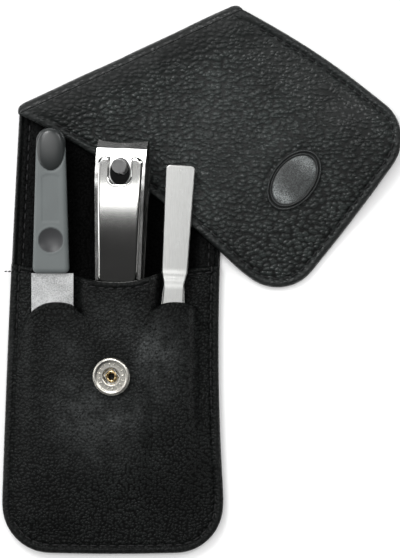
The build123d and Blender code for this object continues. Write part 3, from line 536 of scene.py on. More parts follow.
# %% Curves of height
def smooth(t):
    """0 up to t = 0, 1 from t = 1 on, and a soft rise between them."""
    t = np.clip(t, 0.0, 1.0)
    return t * t * (3 - 2 * t)


def bell(x, middle, width):
    return np.exp(-(((x - middle) / width) ** 2))


def edge_round(distance, radius, depth):
    """How far a rounded edge falls away near an outline."""
    inside = np.clip(distance, 0.0, radius) / radius
    return depth * (1 - np.sqrt(np.maximum(1 - (1 - inside) ** 2, 0.0)))


def rim_height(distance, swell, groove_at, groove, groove_width, radius):
    """Height added near a turned edge: rounded off, swollen over its fold, and sunk where the seam pulls."""
    swollen = swell * bell(distance, 0.52 * groove_at, 0.34 * groove_at)
    return swollen - groove * bell(distance, groove_at, groove_width) - edge_round(distance, radius, radius)


def waves(flat, size, seed):
    """Slow uneven height, from a noise field, for points in the plan."""
    height = [noise.noise(Vector((x / size, y / size, seed))) for x, y in flat.reshape(-1, 2)]
    return np.array(height).reshape(flat.shape[:-1])


def lifted(flat, height):
    """Points of the plan with their heights as third coordinate."""
    return np.concatenate([flat, np.broadcast_to(height, flat.shape[:-1])[..., None]], axis=-1)


def surface(points):
    """Area of a grid of points (mm) in square metres, and so the area that its leather is cut to."""
    one, two = points[1:, 1:] - points[:-1, :-1], points[1:, :-1] - points[:-1, 1:]
    return float(0.5 * np.linalg.norm(np.cross(one, two), axis=-1).sum()) * MM * MM


print("curve helpers ready")

# %% [markdown]
# ## Soft sheets
#
# A sheet of leather is a grid whose points are moved to a patch's points and lifted to a height. A Solidify
# modifier then gives it thickness downwards. A seam is a row of small capsules, half sunk in a groove.


# %% From points to pieces
def mesh_piece(name, mesh, material):
    """Turns a finished bmesh into a smoothly shaded object."""
    for face in mesh.faces:
        face.smooth = True
    made = bpy.data.meshes.new(name)
    mesh.to_mesh(made)
    mesh.free()
    made.materials.append(material)
    return new_object(name, made)


def fitted(piece, body, slot_name, *nodes):
    if nodes:
        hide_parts(*nodes)
    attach(piece, body)


def sheet_mesh(name, points, material, thickness, smoothness=None, painted_sheen_and_shade=None, cuts=None,
               facing=(0.0, 0.0, 1.0)):
    """A grid moved to points (rows, columns, xyz in mm), with thickness below it. cuts(mesh) may open it."""
    rows, columns = points.shape[:2]
    mesh = bmesh.new()
    bmesh.ops.create_grid(mesh, x_segments=columns - 1, y_segments=rows - 1, size=0.5)
    mesh.verts.ensure_lookup_table()
    painted_on = [(mesh.verts.layers.float.new(key), values)
                  for key, values in (("smoothness", smoothness), ("painted_sheen_and_shade", painted_sheen_and_shade))]
    row_layer, column_layer = mesh.verts.layers.int.new("row"), mesh.verts.layers.int.new("column")
    for vert in mesh.verts:
        place = round((vert.co.y + 0.5) * (rows - 1)), round((vert.co.x + 0.5) * (columns - 1))
        vert[row_layer], vert[column_layer] = place
        vert.co = points[place] * MM
        for layer, values in painted_on:
            if values is not None:
                vert[layer] = values[place]
    if cuts:
        cuts(mesh)
    bmesh.ops.recalc_face_normals(mesh, faces=mesh.faces)
    if sum(face.normal.dot(Vector(facing)) for face in mesh.faces) < 0:
        bmesh.ops.reverse_faces(mesh, faces=mesh.faces)
    piece = mesh_piece(name, mesh, material)
    solid = piece.modifiers.new("thickness", "SOLIDIFY")
    solid.thickness = thickness * MM
    solid.offset = -1.0
    return piece


def capsule(mesh, place, half_sizes):
    """Adds a ball of these half sizes (mm) at a place."""
    shape = Matrix.Diagonal((*(Vector(half_sizes) * MM), 1.0))
    bmesh.ops.create_uvsphere(mesh, u_segments=8, v_segments=6, radius=1.0, matrix=place @ shape)


def stitches(name, path, pitch, size, body):
    """Thread stitches along a path of points (mm): each a small pointed capsule, sunk at its ends."""
    at = walker(path)
    count = int(at.length / pitch)
    mesh = bmesh.new()
    for i in range(count):
        middle, reach = (i + 0.5) / count, 0.3 / count
        along = Vector(at(min(1.0, middle + reach)) - at(max(0.0, middle - reach))).normalized()
        turn = along.to_track_quat("X", "Z").to_matrix().to_4x4()
        capsule(mesh, Matrix.Translation(Vector(at(middle)) * MM) @ turn, 0.5 * np.array(size))
    fitted(mesh_piece(name, mesh, THREAD), body, "outer_leather")


def seam_dash(points, path, pitch):
    """1 where a point lies beside the middle of one of the seam's stitches, 0 where it lies between two."""
    at = walker(path)
    per_stitch, batch = 8, 2000
    samples = at(np.linspace(0.0, 1.0, per_stitch * int(at.length / pitch) + 1))[:, :2]
    flat = points.reshape(-1, points.shape[-1])[:, :2]
    nearest = np.concatenate([
        np.argmin(((flat[start : start + batch, None] - samples) ** 2).sum(axis=-1), axis=1)
        for start in range(0, len(flat), batch)])
    return (0.5 - 0.5 * np.cos(nearest / per_stitch * math.tau)).reshape(points.shape[:-1])


print("sheet helpers ready")

# %% [markdown]
# ## The back of the case
#
# The back is the widest piece: outer leather on the table, a thin lining on it. Its sides bow in a little
# where the filled pocket pulls them, and its upper edge runs up to the slanting crease.

# %% Sizes that the soft pieces share
LEATHER, LINING_SHEET, POCKET_LINING = 1.0, 0.6, 0.5
SEAT_GAP = 0.05
BACK_TOP = FLAP_THICK = LEATHER + LINING_SHEET
PANEL_TOP = BACK_TOP + POCKET_LINING + SEAT_GAP + LEATHER
BOTTOM, BOTTOM_SIDES, BOTTOM_HALF, BOTTOM_RADIUS = -69.0, -68.0, 35.0, 15.0
MOUTH, MOUTH_LEFT, MOUTH_RIGHT = 17.0, -31.8, 32.5
CREASE_START = np.array((-29.3, 66.4))
CREASE_ANGLE, CREASE_LENGTH = math.radians(25.0), 76.0
CREASE_WAY = np.array((math.cos(CREASE_ANGLE), math.sin(CREASE_ANGLE)))
CREASE_OUT = np.array((CREASE_WAY[1], -CREASE_WAY[0]))
CREASE_END = CREASE_START + CREASE_LENGTH * CREASE_WAY
ROLL = 2.6
STITCH = (2.3, 0.62, 0.5)
STITCH_PITCH = 2.9

bottom_edge = arc((-BOTTOM_HALF, BOTTOM_SIDES), (0.0, BOTTOM), (BOTTOM_HALF, BOTTOM_SIDES))
right_edge = arc((BOTTOM_HALF, BOTTOM_SIDES), (MOUTH_RIGHT, MOUTH), tuple(CREASE_END))
left_edge = arc(tuple(CREASE_START), (MOUTH_LEFT, MOUTH), (-BOTTOM_HALF, BOTTOM_SIDES))
back_sides = three_sides(left_edge, bottom_edge, right_edge, BOTTOM_RADIUS)
print("back outline:", [len(side) for side in back_sides], "points")

# %% Outer leather and lining of the back
across, upward = graded(70.0, coarse=1.1), graded(150.0, coarse=1.2)


def back_points(inset):
    """The back's grid drawn in by inset, and how far each of its points is from the sewn edge."""
    edge, left, low, right = drawn_in(back_sides, inset)
    flat = patch((low, right, [left[0], right[-1]], left[::-1]), across, upward)
    return flat, distance_to(flat, edge)


flat, ways = back_points(0.0)
turned_in = 0.02 + 0.9 * bell(ways, 0.75, 0.6) - np.where(ways < 0.75, 1.1 * (1 - ways / 0.75) ** 2, 0.0)
above_mouth = smooth((flat[..., 1] - MOUTH) / 4.0)
points = lifted(flat, LEATHER + turned_in * (0.35 + 0.65 * above_mouth))
back = sheet_mesh("back_outer", points, PANEL_LEATHER, 0.8, smoothness=smooth(1.0 - ways / 2.5))
fitted(back, "case", "outer_leather", "back_leather")
print("back leather, flat area in square metres", round(surface(points), 6))

flat, ways = back_points(1.5)
ripple = 0.12 * np.sin(flat[..., 0] * 0.33 + 0.05 * flat[..., 1]) * smooth((ways - 4.0) / 8.0)
rim = rim_height(ways, swell=0.1, groove_at=2.0, groove=0.35, groove_width=0.55, radius=0.5)
points = lifted(flat, BACK_TOP + rim + np.minimum(ripple, 0.0))
# painted sheen: the lining pales a little near its sewn edge
lining = sheet_mesh("back_inside", points, LINING, 0.5, smoothness=smooth(1.0 - ways / 2.0) * 0.6,
                    painted_sheen_and_shade=0.12 * smooth(1.0 - (ways - 4.0) / 3.0))
fitted(lining, "case", "lining_leather", "back_lining")
for side, row, last in (("left", back_sides[0], 64.0), ("right", back_sides[2], 96.0)):
    route = inset_path([p for p in row if MOUTH + 1.0 < p[1] < last], 3.5)
    stitches(f"stitches_back_{side}", lifted(route, BACK_TOP - 0.12), 3.0, (2.3, 0.6, 0.5), "case")
print("back ready")

# %% [markdown]
# ## The crease
#
# Along the crease the strip rolls over on itself. The roll is half a tube, smooth and dark because the grain
# is stretched there.

# %% The rolled crease
ROLL_END = 3.0
stations = graded(CREASE_LENGTH, rim=3.0, fine=0.4, coarse=1.0)
ends = np.clip(ROLL_END - np.minimum(stations, 1 - stations) * CREASE_LENGTH, 0.0, ROLL_END)
draw_in = 1.0 - np.sqrt(np.clip(1.0 - (ends / ROLL_END) ** 2, 0.0, 1.0))
sway = 0.12 * np.sin(stations * 9.0) + 0.08 * np.sin(stations * 23.0 + 1.0)
radius = ROLL - 0.1 - 1.9 * draw_in + sway * 0.6
along = CREASE_START + stations[:, None] * CREASE_LENGTH * CREASE_WAY
# round the axis from the table, out past the crease, and up to the flap
points = np.stack([lifted(along + (radius * math.cos(turn))[:, None] * CREASE_OUT, ROLL + ROLL * math.sin(turn))
                   for turn in np.radians(np.linspace(-90.0, -270.0, 25))])
roll = sheet_mesh("crease_roll", points, FLAP_LEATHER, 1.5, smoothness=np.full(points.shape[:2], 0.9),
                  facing=(*-CREASE_OUT, 0.0))
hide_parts("crease_leather", "crease_lining")
middle = (CREASE_START + CREASE_END) / 2 * MM
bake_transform(roll)
print("rolled leather, area in square metres", round(surface(points), 6))

# %% [markdown]
# ## The flap
#
# The flap comes down from the roll, lies flat on the lining, is lifted by the snap's stud below it, and
# droops to the table at its far end. Its rim is padded and stitched. Slow waves keep it from looking like a
# sheet of plastic.

# %% The flap's outline and height
FLAP_ANGLE = math.radians(-37.5)
FLAP_U = np.array((math.cos(FLAP_ANGLE), math.sin(FLAP_ANGLE)))
FLAP_V = np.array((-FLAP_U[1], FLAP_U[0]))
FLAP_REACH, FLAP_END, FLAP_RADIUS = 101.3, 100.1, 14.0
FLAP_LOW, FLAP_LOW_BULGE, FLAP_HIGH, FLAP_HIGH_BULGE = 0.5, 5.0, 70.0, 70.8
SNAP_U, SNAP_V, STUD_HEIGHT = 79.5, 35.5, 3.4
FLAP_FLAT, FLAP_CUSHION, FLAP_DROOP = 36.0, (47.0, 61.0), 80.0


def flap_point(u, v):
    return tuple(CREASE_START + u * FLAP_U + v * FLAP_V)


low_end, high_end = flap_point(FLAP_END, FLAP_LOW), flap_point(FLAP_END, FLAP_HIGH)
lower_edge = arc(tuple(CREASE_START), flap_point(0.4 * FLAP_REACH, FLAP_LOW_BULGE), low_end)
end_edge = arc(low_end, flap_point(FLAP_REACH, SNAP_V), high_end)
upper_edge = arc(high_end, flap_point(0.6 * FLAP_REACH, FLAP_HIGH_BULGE), tuple(CREASE_END))
flap_sides = three_sides(lower_edge, end_edge, upper_edge, FLAP_RADIUS)


def flap_height(flat):
    """Underside of the flap above the table at points in the plan."""
    way = (flat - CREASE_START) @ CREASE_OUT
    lie = BACK_TOP + 0.2
    held = STUD_HEIGHT + 0.05
    fall = (ROLL + 1.0 - lie) * (1 - smooth(way / 14.0))
    rise = (held - lie) * smooth((way - FLAP_FLAT) / (FLAP_CUSHION[0] - FLAP_FLAT))
    droop = (held - 0.4) * smooth((way - FLAP_CUSHION[1]) / (FLAP_DROOP - FLAP_CUSHION[1]))
    return lie + fall + rise - droop


print("flap end", [round(v, 1) for v in flap_point(FLAP_REACH, SNAP_V)])

# %% Outer leather and lining of the flap
FLAP_SEAM = 2.6
across, upward = graded(85.0, coarse=0.85), graded(72.0, coarse=0.85)


def flap_points(inset):
    """The flap's grid drawn in by inset, and how far each of its points is from the sewn edge."""
    edge, low, right, high = drawn_in(flap_sides, inset)
    flat = patch((low, right, high[::-1], [low[0], high[-1]]), across, upward)
    return flat, distance_to(flat, edge)


flat, ways = flap_points(0.0)
x, y = flat[..., 0], flat[..., 1]
way = (flat - CREASE_START) @ CREASE_OUT
sewn = smooth(way / 6.0)
rim = rim_height(ways, swell=0.3, groove_at=FLAP_SEAM, groove=0.55, groove_width=0.6, radius=1.0)
plump = 0.25 * smooth((ways - FLAP_SEAM) / 3.0)
relief = (rim + plump + 0.22 * waves(flat, 13.0, 3.1) * smooth((ways - 3.0) / 6.0)) * sewn

route = drawn_in(flap_sides, FLAP_SEAM)[0]
route = route[(route - CREASE_START) @ CREASE_OUT > 7.0]
dash = seam_dash(flat, route, STITCH_PITCH) * (way > 6.0)
on_seam = bell(ways, FLAP_SEAM, 0.6)
relief = relief + on_seam * (0.15 - 0.4 * dash)

# the tweezers slide out above this strip of the flap, so it stays flat
beside_track = np.abs(x - 20.3 - 0.06 * (y - 50.8))
relief = np.minimum(relief, 0.45 - 0.5 * smooth((9.5 - beside_track) / 3.0))

# the leather sinks round the badge
from_badge = flat - flap_point(SNAP_U, SNAP_V)
badge_u, badge_v = from_badge @ FLAP_U, from_badge @ FLAP_V
badge_share = np.hypot(badge_u / 6.9, badge_v / 10.6)
sunk = 0.55 * bell(badge_share, 1.04, 0.09) * (0.75 - 0.25 * badge_u / 7.0)
points = lifted(flat, flap_height(flat) + FLAP_THICK + relief - sunk)

# smooth over the roll, along the rim and on the upper side; a painted sheen, brightest round a spot in the
# middle, with painted highlights along the rim and between the stitches
flap_u, flap_v = (flat - CREASE_START) @ FLAP_U, (flat - CREASE_START) @ FLAP_V
upper_side = smooth((flap_v - 50.0) / 12.0) * smooth((flap_u - 20.0) / 20.0) * smooth((100.0 - flap_u) / 20.0)
taut = np.maximum(smooth(1.15 - way / 11.0) * 0.9, smooth(1.3 - ways / 2.6) * 0.8)
taut = np.maximum(taut, 0.65 * upper_side)
flap_painted_sheen = 0.3 * np.exp(-(((x - 30.0) / 24.0) ** 2) - ((y - 64.0) / 24.0) ** 2)
flap_painted_sheen = np.clip(flap_painted_sheen * (1.0 + 0.9 * waves(flat, 7.0, 5.1)) * (1 - taut), 0.0, 1.0)
flap_painted_sheen = np.maximum(flap_painted_sheen, 0.2 * bell(ways, 1.3, 0.8) + 0.35 * on_seam * (1 - dash) * (way > 6.0))
flap = sheet_mesh("flap_outer", points, FLAP_LEATHER, LEATHER - 0.05, smoothness=taut, painted_sheen_and_shade=flap_painted_sheen)
fitted(flap, "flap", "outer_leather", "flap_leather")
print("flap leather, flat area in square metres", round(surface(points), 6))

flat, ways = flap_points(0.9)
points = lifted(flat, flap_height(flat) + LINING_SHEET)
flap_inside = sheet_mesh("flap_inside", points, LINING, LINING_SHEET)
fitted(flap_inside, "flap", "lining_leather", "flap_lining")
level = flap_height(route) + FLAP_THICK - 0.34 - 0.12 * (np.abs(route[:, 0] - 20.0) < 8.5)
stitches("stitches_flap", lifted(route, level), STITCH_PITCH, (2.3, 0.62, 0.55), "flap")
print("flap ready")

# %% [markdown]
# ## The badge
#
# An oval of pressed leather covers the snap's rivet. Two raised rings run round it, and its middle is smooth
# and shiny. It is a disc of rings of points: going outwards each ring gets the height of the pressed
# profile.

# %% The badge
BADGE_HALF = (6.9, 10.6)
BADGE_PROFILE = [(0.0, 0.62), (0.15, 0.62), (0.3, 0.61), (0.45, 0.59), (0.6, 0.56), (0.7, 0.53), (0.76, 0.5),
                 (0.79, 0.43), (0.81, 0.47), (0.83, 0.62), (0.85, 0.68), (0.87, 0.62), (0.89, 0.42),
                 (0.905, 0.36), (0.92, 0.44), (0.935, 0.68), (0.955, 0.76), (0.975, 0.67), (0.99, 0.45),
                 (1.0, 0.0)]  # share of the way out, and height
SPOKES = 96
badge_mesh = bmesh.new()
bmesh.ops.create_grid(badge_mesh, x_segments=SPOKES, y_segments=len(BADGE_PROFILE) - 1, size=0.5)
snap = flap_point(SNAP_U, SNAP_V)
seat = float(flap_height(np.array([snap]))[0]) + FLAP_THICK
painted_sheen_layer = badge_mesh.verts.layers.float.new("sheen")
for vert in badge_mesh.verts:
    spoke = (vert.co.x + 0.5) * math.tau
    reach, lift = BADGE_PROFILE[round((vert.co.y + 0.5) * (len(BADGE_PROFILE) - 1))]
    a, b = BADGE_HALF[0] * reach * math.cos(spoke), BADGE_HALF[1] * reach * math.sin(spoke)
    # painted highlight: silvery towards both ends of the oval and on the rings' crests
    ends = bell(abs(b), 6.8, 2.4) * (1.0 if b < 0 else 0.9)
    crests = 0.3 * bell(reach, 0.955, 0.014) + 0.2 * bell(reach, 0.85, 0.014)
    vert[painted_sheen_layer] = float(smooth((0.81 - reach) / 0.05) * (0.2 + 0.7 * ends) + crests)
    vert.co = Vector((*(snap + a * FLAP_U + b * FLAP_V), seat - 0.35 + 1.995 * lift)) * MM
bmesh.ops.remove_doubles(badge_mesh, verts=badge_mesh.verts, dist=1e-6)
bmesh.ops.recalc_face_normals(badge_mesh, faces=badge_mesh.faces)
fitted(mesh_piece("badge", badge_mesh, BADGE_LEATHER), "flap", "badge_leather", "flap_badge")
print("badge ready")

# %% [markdown]
# ## The front panel
#
# The panel is one piece of leather, sewn down at the sides and the bottom. It swells over the tools, and has
# two arched slits: there the leather above goes below, and the leather below stands up as a lip over the
# tool. One row of the grid is laid along both slits and cut open there.

# %% What the panel swells over
TOOL_RISE = 0.04
FILE_TIP = (-18.9, -57.8)
CLIPPER_TAIL = (1.4, -21.5)
FILE_SLIT, TWEEZERS_SLIT = (-17.6, 10.6), (18.8, 10.8)  # middle and half width
SLIT_LOW, SLIT_RISE = -0.4, 9.0
SLIT_TOP = 9.0
FOOT = -64.0
VALLEY_SOFTNESS = 0.35


def arched(x):
    """Height of the slits' row above its low line, across the case."""
    rise = np.zeros_like(x)
    for middle, half_width in (FILE_SLIT, TWEEZERS_SLIT):
        share = np.clip(np.abs(x - middle) / half_width, 0.0, 1.0)
        rise = rise + SLIT_RISE * (1 - share**2.3) ** 0.62
    return rise


def opened(x):
    """1 where a slit gapes, 0 at its ends and outside."""
    gape = np.zeros_like(x)
    for middle, half_width in (FILE_SLIT, TWEEZERS_SLIT):
        gape = np.maximum(gape, smooth((1 - np.abs(x - middle) / half_width) / 0.09))
    return gape


def hill(x, left, right, left_slope, right_slope):
    """1 between left and right, falling softly to 0 outside."""
    return smooth((x - left + left_slope) / left_slope) * smooth((right + right_slope - x) / right_slope)


def over_clipper(x, y):
    """How far the leather stands over its sewn level for the clipper, which widens and rises upwards."""
    run = np.maximum(y - CLIPPER_TAIL[1], 0.0)
    left, right = -7.9 + 0.003 * run, 9.4 + 0.052 * run
    low, high = 9.4 + 0.097 * run - PANEL_TOP, 13.05 + 0.108 * run - PANEL_TOP
    share = np.clip((x - left) / (right - left), 0.0, 1.0)
    crown = low + (high - low) * share + 0.4 * np.sin(np.pi * share)
    tail = smooth((y - FOOT) / (CLIPPER_TAIL[1] - FOOT) * 1.04) ** 0.9
    return crown * hill(x, left + 0.4, right - 0.5, 5.0, 4.6) * np.where(y < CLIPPER_TAIL[1], tail, 1.0)


def over_file(x, y):
    crown = 4.6 - TOOL_RISE * (SLIT_TOP - np.clip(y, FILE_TIP[1], SLIT_TOP))
    return crown * hill(x, -25.9, -11.6, 4.2, 4.0) * smooth((y - FOOT + 1.0) / 9.0)


def over_tweezers(x, y):
    crown = 7.3 - TOOL_RISE * (SLIT_TOP - np.clip(y, -39.0, SLIT_TOP))
    return crown * hill(x, 13.6, 22.8, 5.0, 4.0) * smooth((y - FOOT) / 27.0)


def panel_height(x, y, below):
    """Top of the panel's leather above the table: the greatest swell, with soft valleys where two meet.
    File and tweezers lift it only below the slits' row, where below is 1."""
    swells = [np.zeros_like(x), over_clipper(x, y), below * over_file(x, y), below * over_tweezers(x, y)]
    stack = np.stack(swells)
    peak = stack.max(axis=0)
    soft = VALLEY_SOFTNESS * (np.log(np.exp((stack - peak) / VALLEY_SOFTNESS).sum(axis=0)) - math.log(2.0))
    return PANEL_TOP + peak + soft


def bridged(x, height):
    """Leather pulled straight from swell to swell: the upper hull of one row of heights."""
    hull = []
    for point in zip(x, height):
        while len(hull) > 1 and (hull[-1][0] - hull[-2][0]) * (point[1] - hull[-2][1]) >= \
                (hull[-1][1] - hull[-2][1]) * (point[0] - hull[-2][0]):
            hull.pop()
        hull.append(point)
    return np.interp(x, *zip(*hull))


print("panel helpers ready")

# %% The panel's grid, with a row along the slits
MOUTH_LINE = [(-31.9, 20.4), (-26.0, 19.6), (-18.0, 18.3), (-12.0, 16.9), (-7.0, 15.3), (-3.0, 14.8),
              (4.0, 14.7), (8.5, 15.3), (12.0, 17.0), (17.0, 18.2), (23.0, 19.1), (28.0, 19.6), (32.7, 20.0)]
SLIT_ROW = 0.8
SLIT_ROWS_APART = 0.0045

left_side, low_side, right_side = back_sides[0][::-1], back_sides[1], back_sides[2]
span = np.linspace(MOUTH_LINE[0][0], MOUTH_LINE[-1][0], 160)
curve = softened(np.interp(span, *zip(*MOUTH_LINE)), 60)
span[0] = np.interp(curve[0], *zip(*[(p[1], p[0]) for p in left_side]))
span[-1] = np.interp(curve[-1], *zip(*[(p[1], p[0]) for p in right_side]))
mouth = list(zip(span, curve))
left_cut = [p for p in left_side if p[1] < curve[0] - 0.3] + [mouth[0]]
right_cut = [p for p in right_side if p[1] < curve[-1] - 0.3] + [mouth[-1]]

across, upward = graded(72.0, fine=0.34, coarse=0.55), graded(84.0, fine=0.34, coarse=0.7)
near_slit = SLIT_ROW + np.arange(-8, 9) * SLIT_ROWS_APART
upward = np.sort(np.concatenate([upward[np.abs(upward - SLIT_ROW) > 0.041], near_slit]))
slit_row = int(np.argmin(np.abs(upward - SLIT_ROW)))
flat = patch((low_side, right_cut, mouth, left_cut), across, upward)
slit_x, slit_y = flat[slit_row].T
from_ends = np.minimum(slit_x - slit_x[0], slit_x[-1] - slit_x)
shift = (SLIT_LOW + arched(slit_x) - slit_y) * smooth(from_ends / 3.5)
share = np.where(upward > upward[slit_row], (1 - upward) / (1 - upward[slit_row]), upward / upward[slit_row])
flat[..., 1] += shift[None] * share[:, None] ** 1.15
print("panel grid", flat.shape[:2], "slit row", slit_row)

# %% Lift the panel
SOCKET_SEAT_AT = (-0.41, -14.0, 11.71)
SOCKET_SLOPES = (0.2126, 0.0961)  # of its seat, across and along the case

perimeter = left_cut[::-1] + low_side[1:] + right_cut[1:]
ways, mouth_ways = distance_to(flat, perimeter), distance_to(flat, mouth)
x, y = flat[..., 0], flat[..., 1]
gape = opened(x)
under_line = SLIT_LOW + arched(x) - y
step = np.where(np.arange(len(upward))[:, None] <= slit_row, 1.0, 0.0)
below = gape * step + (1 - gape) * smooth((under_line + 4.5) / 9.0)
raised = (panel_height(x, y, below) - PANEL_TOP) * smooth((ways - 2.9) / 4.6)

# below the slits the leather is taut from tool to tool, except for a fold beside the tweezers
taut = np.stack([bridged(*row) for row in zip(x, raised)])
taut_share = 0.85 * smooth((under_line + 2.0) / 7.0) * np.where((step < 1) & (gape > 0), 0.0, 1.0)
taut_share = taut_share * (1 - smooth((x - 21.0) / 3.0) * smooth((y + 42.0) / 26.0))
raised = raised + (taut - raised) * taut_share
softened(raised[1:slit_row].T, 3)

# the lips, the sewn rim, the hem, a little slack, and the flat seat that the socket presses
rounding = np.where((step > 0) & (gape > 0.2), edge_round(under_line, 0.8, 0.55), 0.0)
lip_swell = 0.35 * bell(under_line, 1.3, 0.9) * gape * step
rim = rim_height(ways, swell=0.28, groove_at=2.5, groove=0.5, groove_width=0.55, radius=0.9)
hem = rim_height(mouth_ways, swell=0.3, groove_at=2.0, groove=0.4, groove_width=0.5, radius=0.8)
slack = 0.3 * waves(flat, 11.0, 7.7) * smooth((ways - 4.0) / 7.0) * smooth(mouth_ways / 5.0)
top = PANEL_TOP + raised + rim + hem + slack - rounding + lip_swell
from_x, from_y = x - SOCKET_SEAT_AT[0], y - SOCKET_SEAT_AT[1]
from_socket = np.hypot(from_x, from_y)
seat = SOCKET_SEAT_AT[2] + SOCKET_SLOPES[0] * from_x + SOCKET_SLOPES[1] * from_y
top = top + (seat - top) * smooth((9.5 - from_socket) / 3.5) - 0.18 * bell(from_socket, 6.3, 0.5)
points = lifted(flat, top)

# the upper lips, tucked in under the lower ones
LIP_TUCK = 3.0
lip_gape = gape[slit_row]
upper = points[slit_row].copy()
upper[:, 1] -= LIP_TUCK * lip_gape**0.5
upper[:, 2] += lip_gape * (panel_height(upper[:, 0], upper[:, 1], 0.0) - upper[:, 2])


def open_slits(mesh):
    row_layer, column_layer = mesh.verts.layers.int["row"], mesh.verts.layers.int["column"]

    def on_slit(vert):
        return vert[row_layer] == slit_row and lip_gape[vert[column_layer]] > 0.0

    slit_edges = [edge for edge in mesh.edges if all(on_slit(vert) for vert in edge.verts)]
    bmesh.ops.split_edges(mesh, edges=slit_edges)
    for vert in filter(on_slit, mesh.verts):
        if min(other[row_layer] for face in vert.link_faces for other in face.verts) == slit_row:
            vert.co = upper[vert[column_layer]] * MM


# painted sheen: patches of painted highlight on the leather: middle, half sizes, and how strongly
PAINTED_SHEEN_PATCHES = [((10.5, -3.5), (3.2, 5.0), 0.8), ((-9.0, -24.0), (12.0, 11.0), 0.55),
          ((14.0, -9.0), (7.5, 11.0), 0.75), ((2.0, -27.0), (9.0, 4.5), 0.4), ((-15.0, -6.0), (6.0, 8.0), 0.3),
          ((0.0, 4.0), (6.0, 7.0), 0.35), ((-3.0, -38.0), (13.0, 6.0), 0.22), ((-27.5, -4.0), (2.5, 30.0), 0.12)]
painted_sheen_and_shade = sum(strength * bell(x, middle_x, half_x) * bell(y, middle_y, half_y)
          for (middle_x, middle_y), (half_x, half_y), strength in PAINTED_SHEEN_PATCHES)
painted_sheen_and_shade = np.clip(painted_sheen_and_shade * (0.8 + 0.7 * waves(flat, 4.2, 1.3)), 0.0, 1.0)
# and a painted highlight along the sewn rim
painted_sheen_and_shade = np.maximum(painted_sheen_and_shade, 0.1 * bell(ways, 1.2, 0.8))
tight = np.maximum(smooth(1.2 - ways / 2.5) * 0.6, smooth(1.2 - mouth_ways / 2.2) * 0.5)
panel = sheet_mesh("front_panel", points, PANEL_LEATHER, LEATHER + 0.1, tight, painted_sheen_and_shade, open_slits)
panel.data.materials.append(LINING)
panel.modifiers["thickness"].material_offset = 1
fitted(panel, "case", "outer_leather", "front_panel_leather", "front_panel_lining")
print("panel leather, flat area in square metres", round(surface(points), 6))

# %% Stitches of the panel, and a thread's end that stands out at the pocket's left corner
route = inset_path(perimeter, 2.5)
stitches("stitches_panel", lifted(route, PANEL_TOP - 0.24), STITCH_PITCH, STITCH, "case")
route = inset_path(mouth[::-1], 2.0)[::-1]
route = route[(route[:, 0] > -29.5) & (route[:, 0] < 30.5)]
stitches("stitches_hem", lifted(route, panel_height(*route.T, 0.0) - 0.16), 2.7, (2.1, 0.6, 0.5), "case")
thread_end = [(-31.6, 18.1, PANEL_TOP + 0.1), (-32.4, 18.0, PANEL_TOP + 0.3), (-33.2, 18.05, PANEL_TOP + 0.1),
              (-33.9, 17.9, PANEL_TOP - 0.3)]
stitches("thread_end", thread_end, 0.8, (1.1, 0.45, 0.45), "case")
print("stitches ready")

# %% [markdown]
# ## Tools with rounder forms
#
# The file's handle, the clipper's lever, the tweezers' front arm and the socket's shell are seen close up,
# so they get finer shapes than the measured ones, in exactly the same places. Each is drawn in its tool's
# own directions (across, along from the tail, up) and then laid down the way the tool lies.

# %% How each tool lies
CLIPPER_TAIL_HALF, CLIPPER_LEAN, CLIPPER_ROLL = 6.3, math.radians(-1.95), math.radians(-12.0)
TWEEZERS_HEAD, TWEEZERS_LENGTH, TWEEZERS_LEAN = (20.6, 50.8), 90.0, math.radians(-3.3)
TOOL_FLOOR = BACK_TOP + 0.3
CLIPPER_FLOOR = TOOL_FLOOR - CLIPPER_TAIL_HALF * math.sin(CLIPPER_ROLL)
tilt = Matrix.Rotation(math.atan(TOOL_RISE), 4, "X")
FILE_PLACE = Matrix.Translation((*FILE_TIP, TOOL_FLOOR)) @ tilt
CLIPPER_PLACE = (Matrix.Translation((*CLIPPER_TAIL, CLIPPER_FLOOR)) @ Matrix.Rotation(CLIPPER_LEAN, 4, "Z")
                 @ tilt @ Matrix.Rotation(CLIPPER_ROLL, 4, "Y"))
tweezers_tip = (TWEEZERS_HEAD[0] + TWEEZERS_LENGTH * math.sin(TWEEZERS_LEAN),
                TWEEZERS_HEAD[1] - TWEEZERS_LENGTH * math.cos(TWEEZERS_LEAN), TOOL_FLOOR)
TWEEZERS_PLACE = Matrix.Translation(tweezers_tip) @ Matrix.Rotation(TWEEZERS_LEAN, 4, "Z") @ tilt


def laid(place, *across_along_up):
    """Points of a tool's own directions, moved to where the tool lies."""
    return np.stack(across_along_up, axis=-1) @ np.array(place.to_3x3()).T + np.array(place.translation)


def between(first, last):
    """Points on the straight line from one place to another."""
    return [tuple(point) for point in np.linspace(first, last, 13)]


def four_sides(low, right, high, left, radii):
    """Four point lists round an outline, their corners rounded, each cut at the corners' middles."""
    sides = [low, right, high, left]
    bows = []
    for i, radius in enumerate(radii):
        sides[i], bow, sides[(i + 1) % 4] = rounded(sides[i], sides[(i + 1) % 4], radius, 24)
        bows.append(bow)
    half = len(bows[0]) // 2
    walks = [bows[i - 1][half:] + sides[i] + bows[i][: half + 1] for i in range(4)]
    return walks[0], walks[1], walks[2][::-1], walks[3][::-1]


def tool_grid(widths, radii, across, upward, head_bow=0.0):
    """A grid inside a tool's outline, given by its (y, half width) from tail to head, its corners' radii and
    how far its head bows in. Returns the grid's x and y, and how far each point is from the outline."""
    right = [(half, y) for y, half in widths]
    left = [(-half, y) for y, half in widths][::-1]
    head = between(right[-1], left[0])
    if head_bow:
        head = arc(right[-1], (0.0, right[-1][1] - head_bow), left[0], 24)
    low, right, high, left = four_sides(between(left[-1], right[0]), right, head, left, radii)
    flat = patch((low, right, high, left), across, upward)
    return flat[..., 0], flat[..., 1], distance_to(flat, low + right + high[::-1] + left[::-1])


print("tools' places ready")

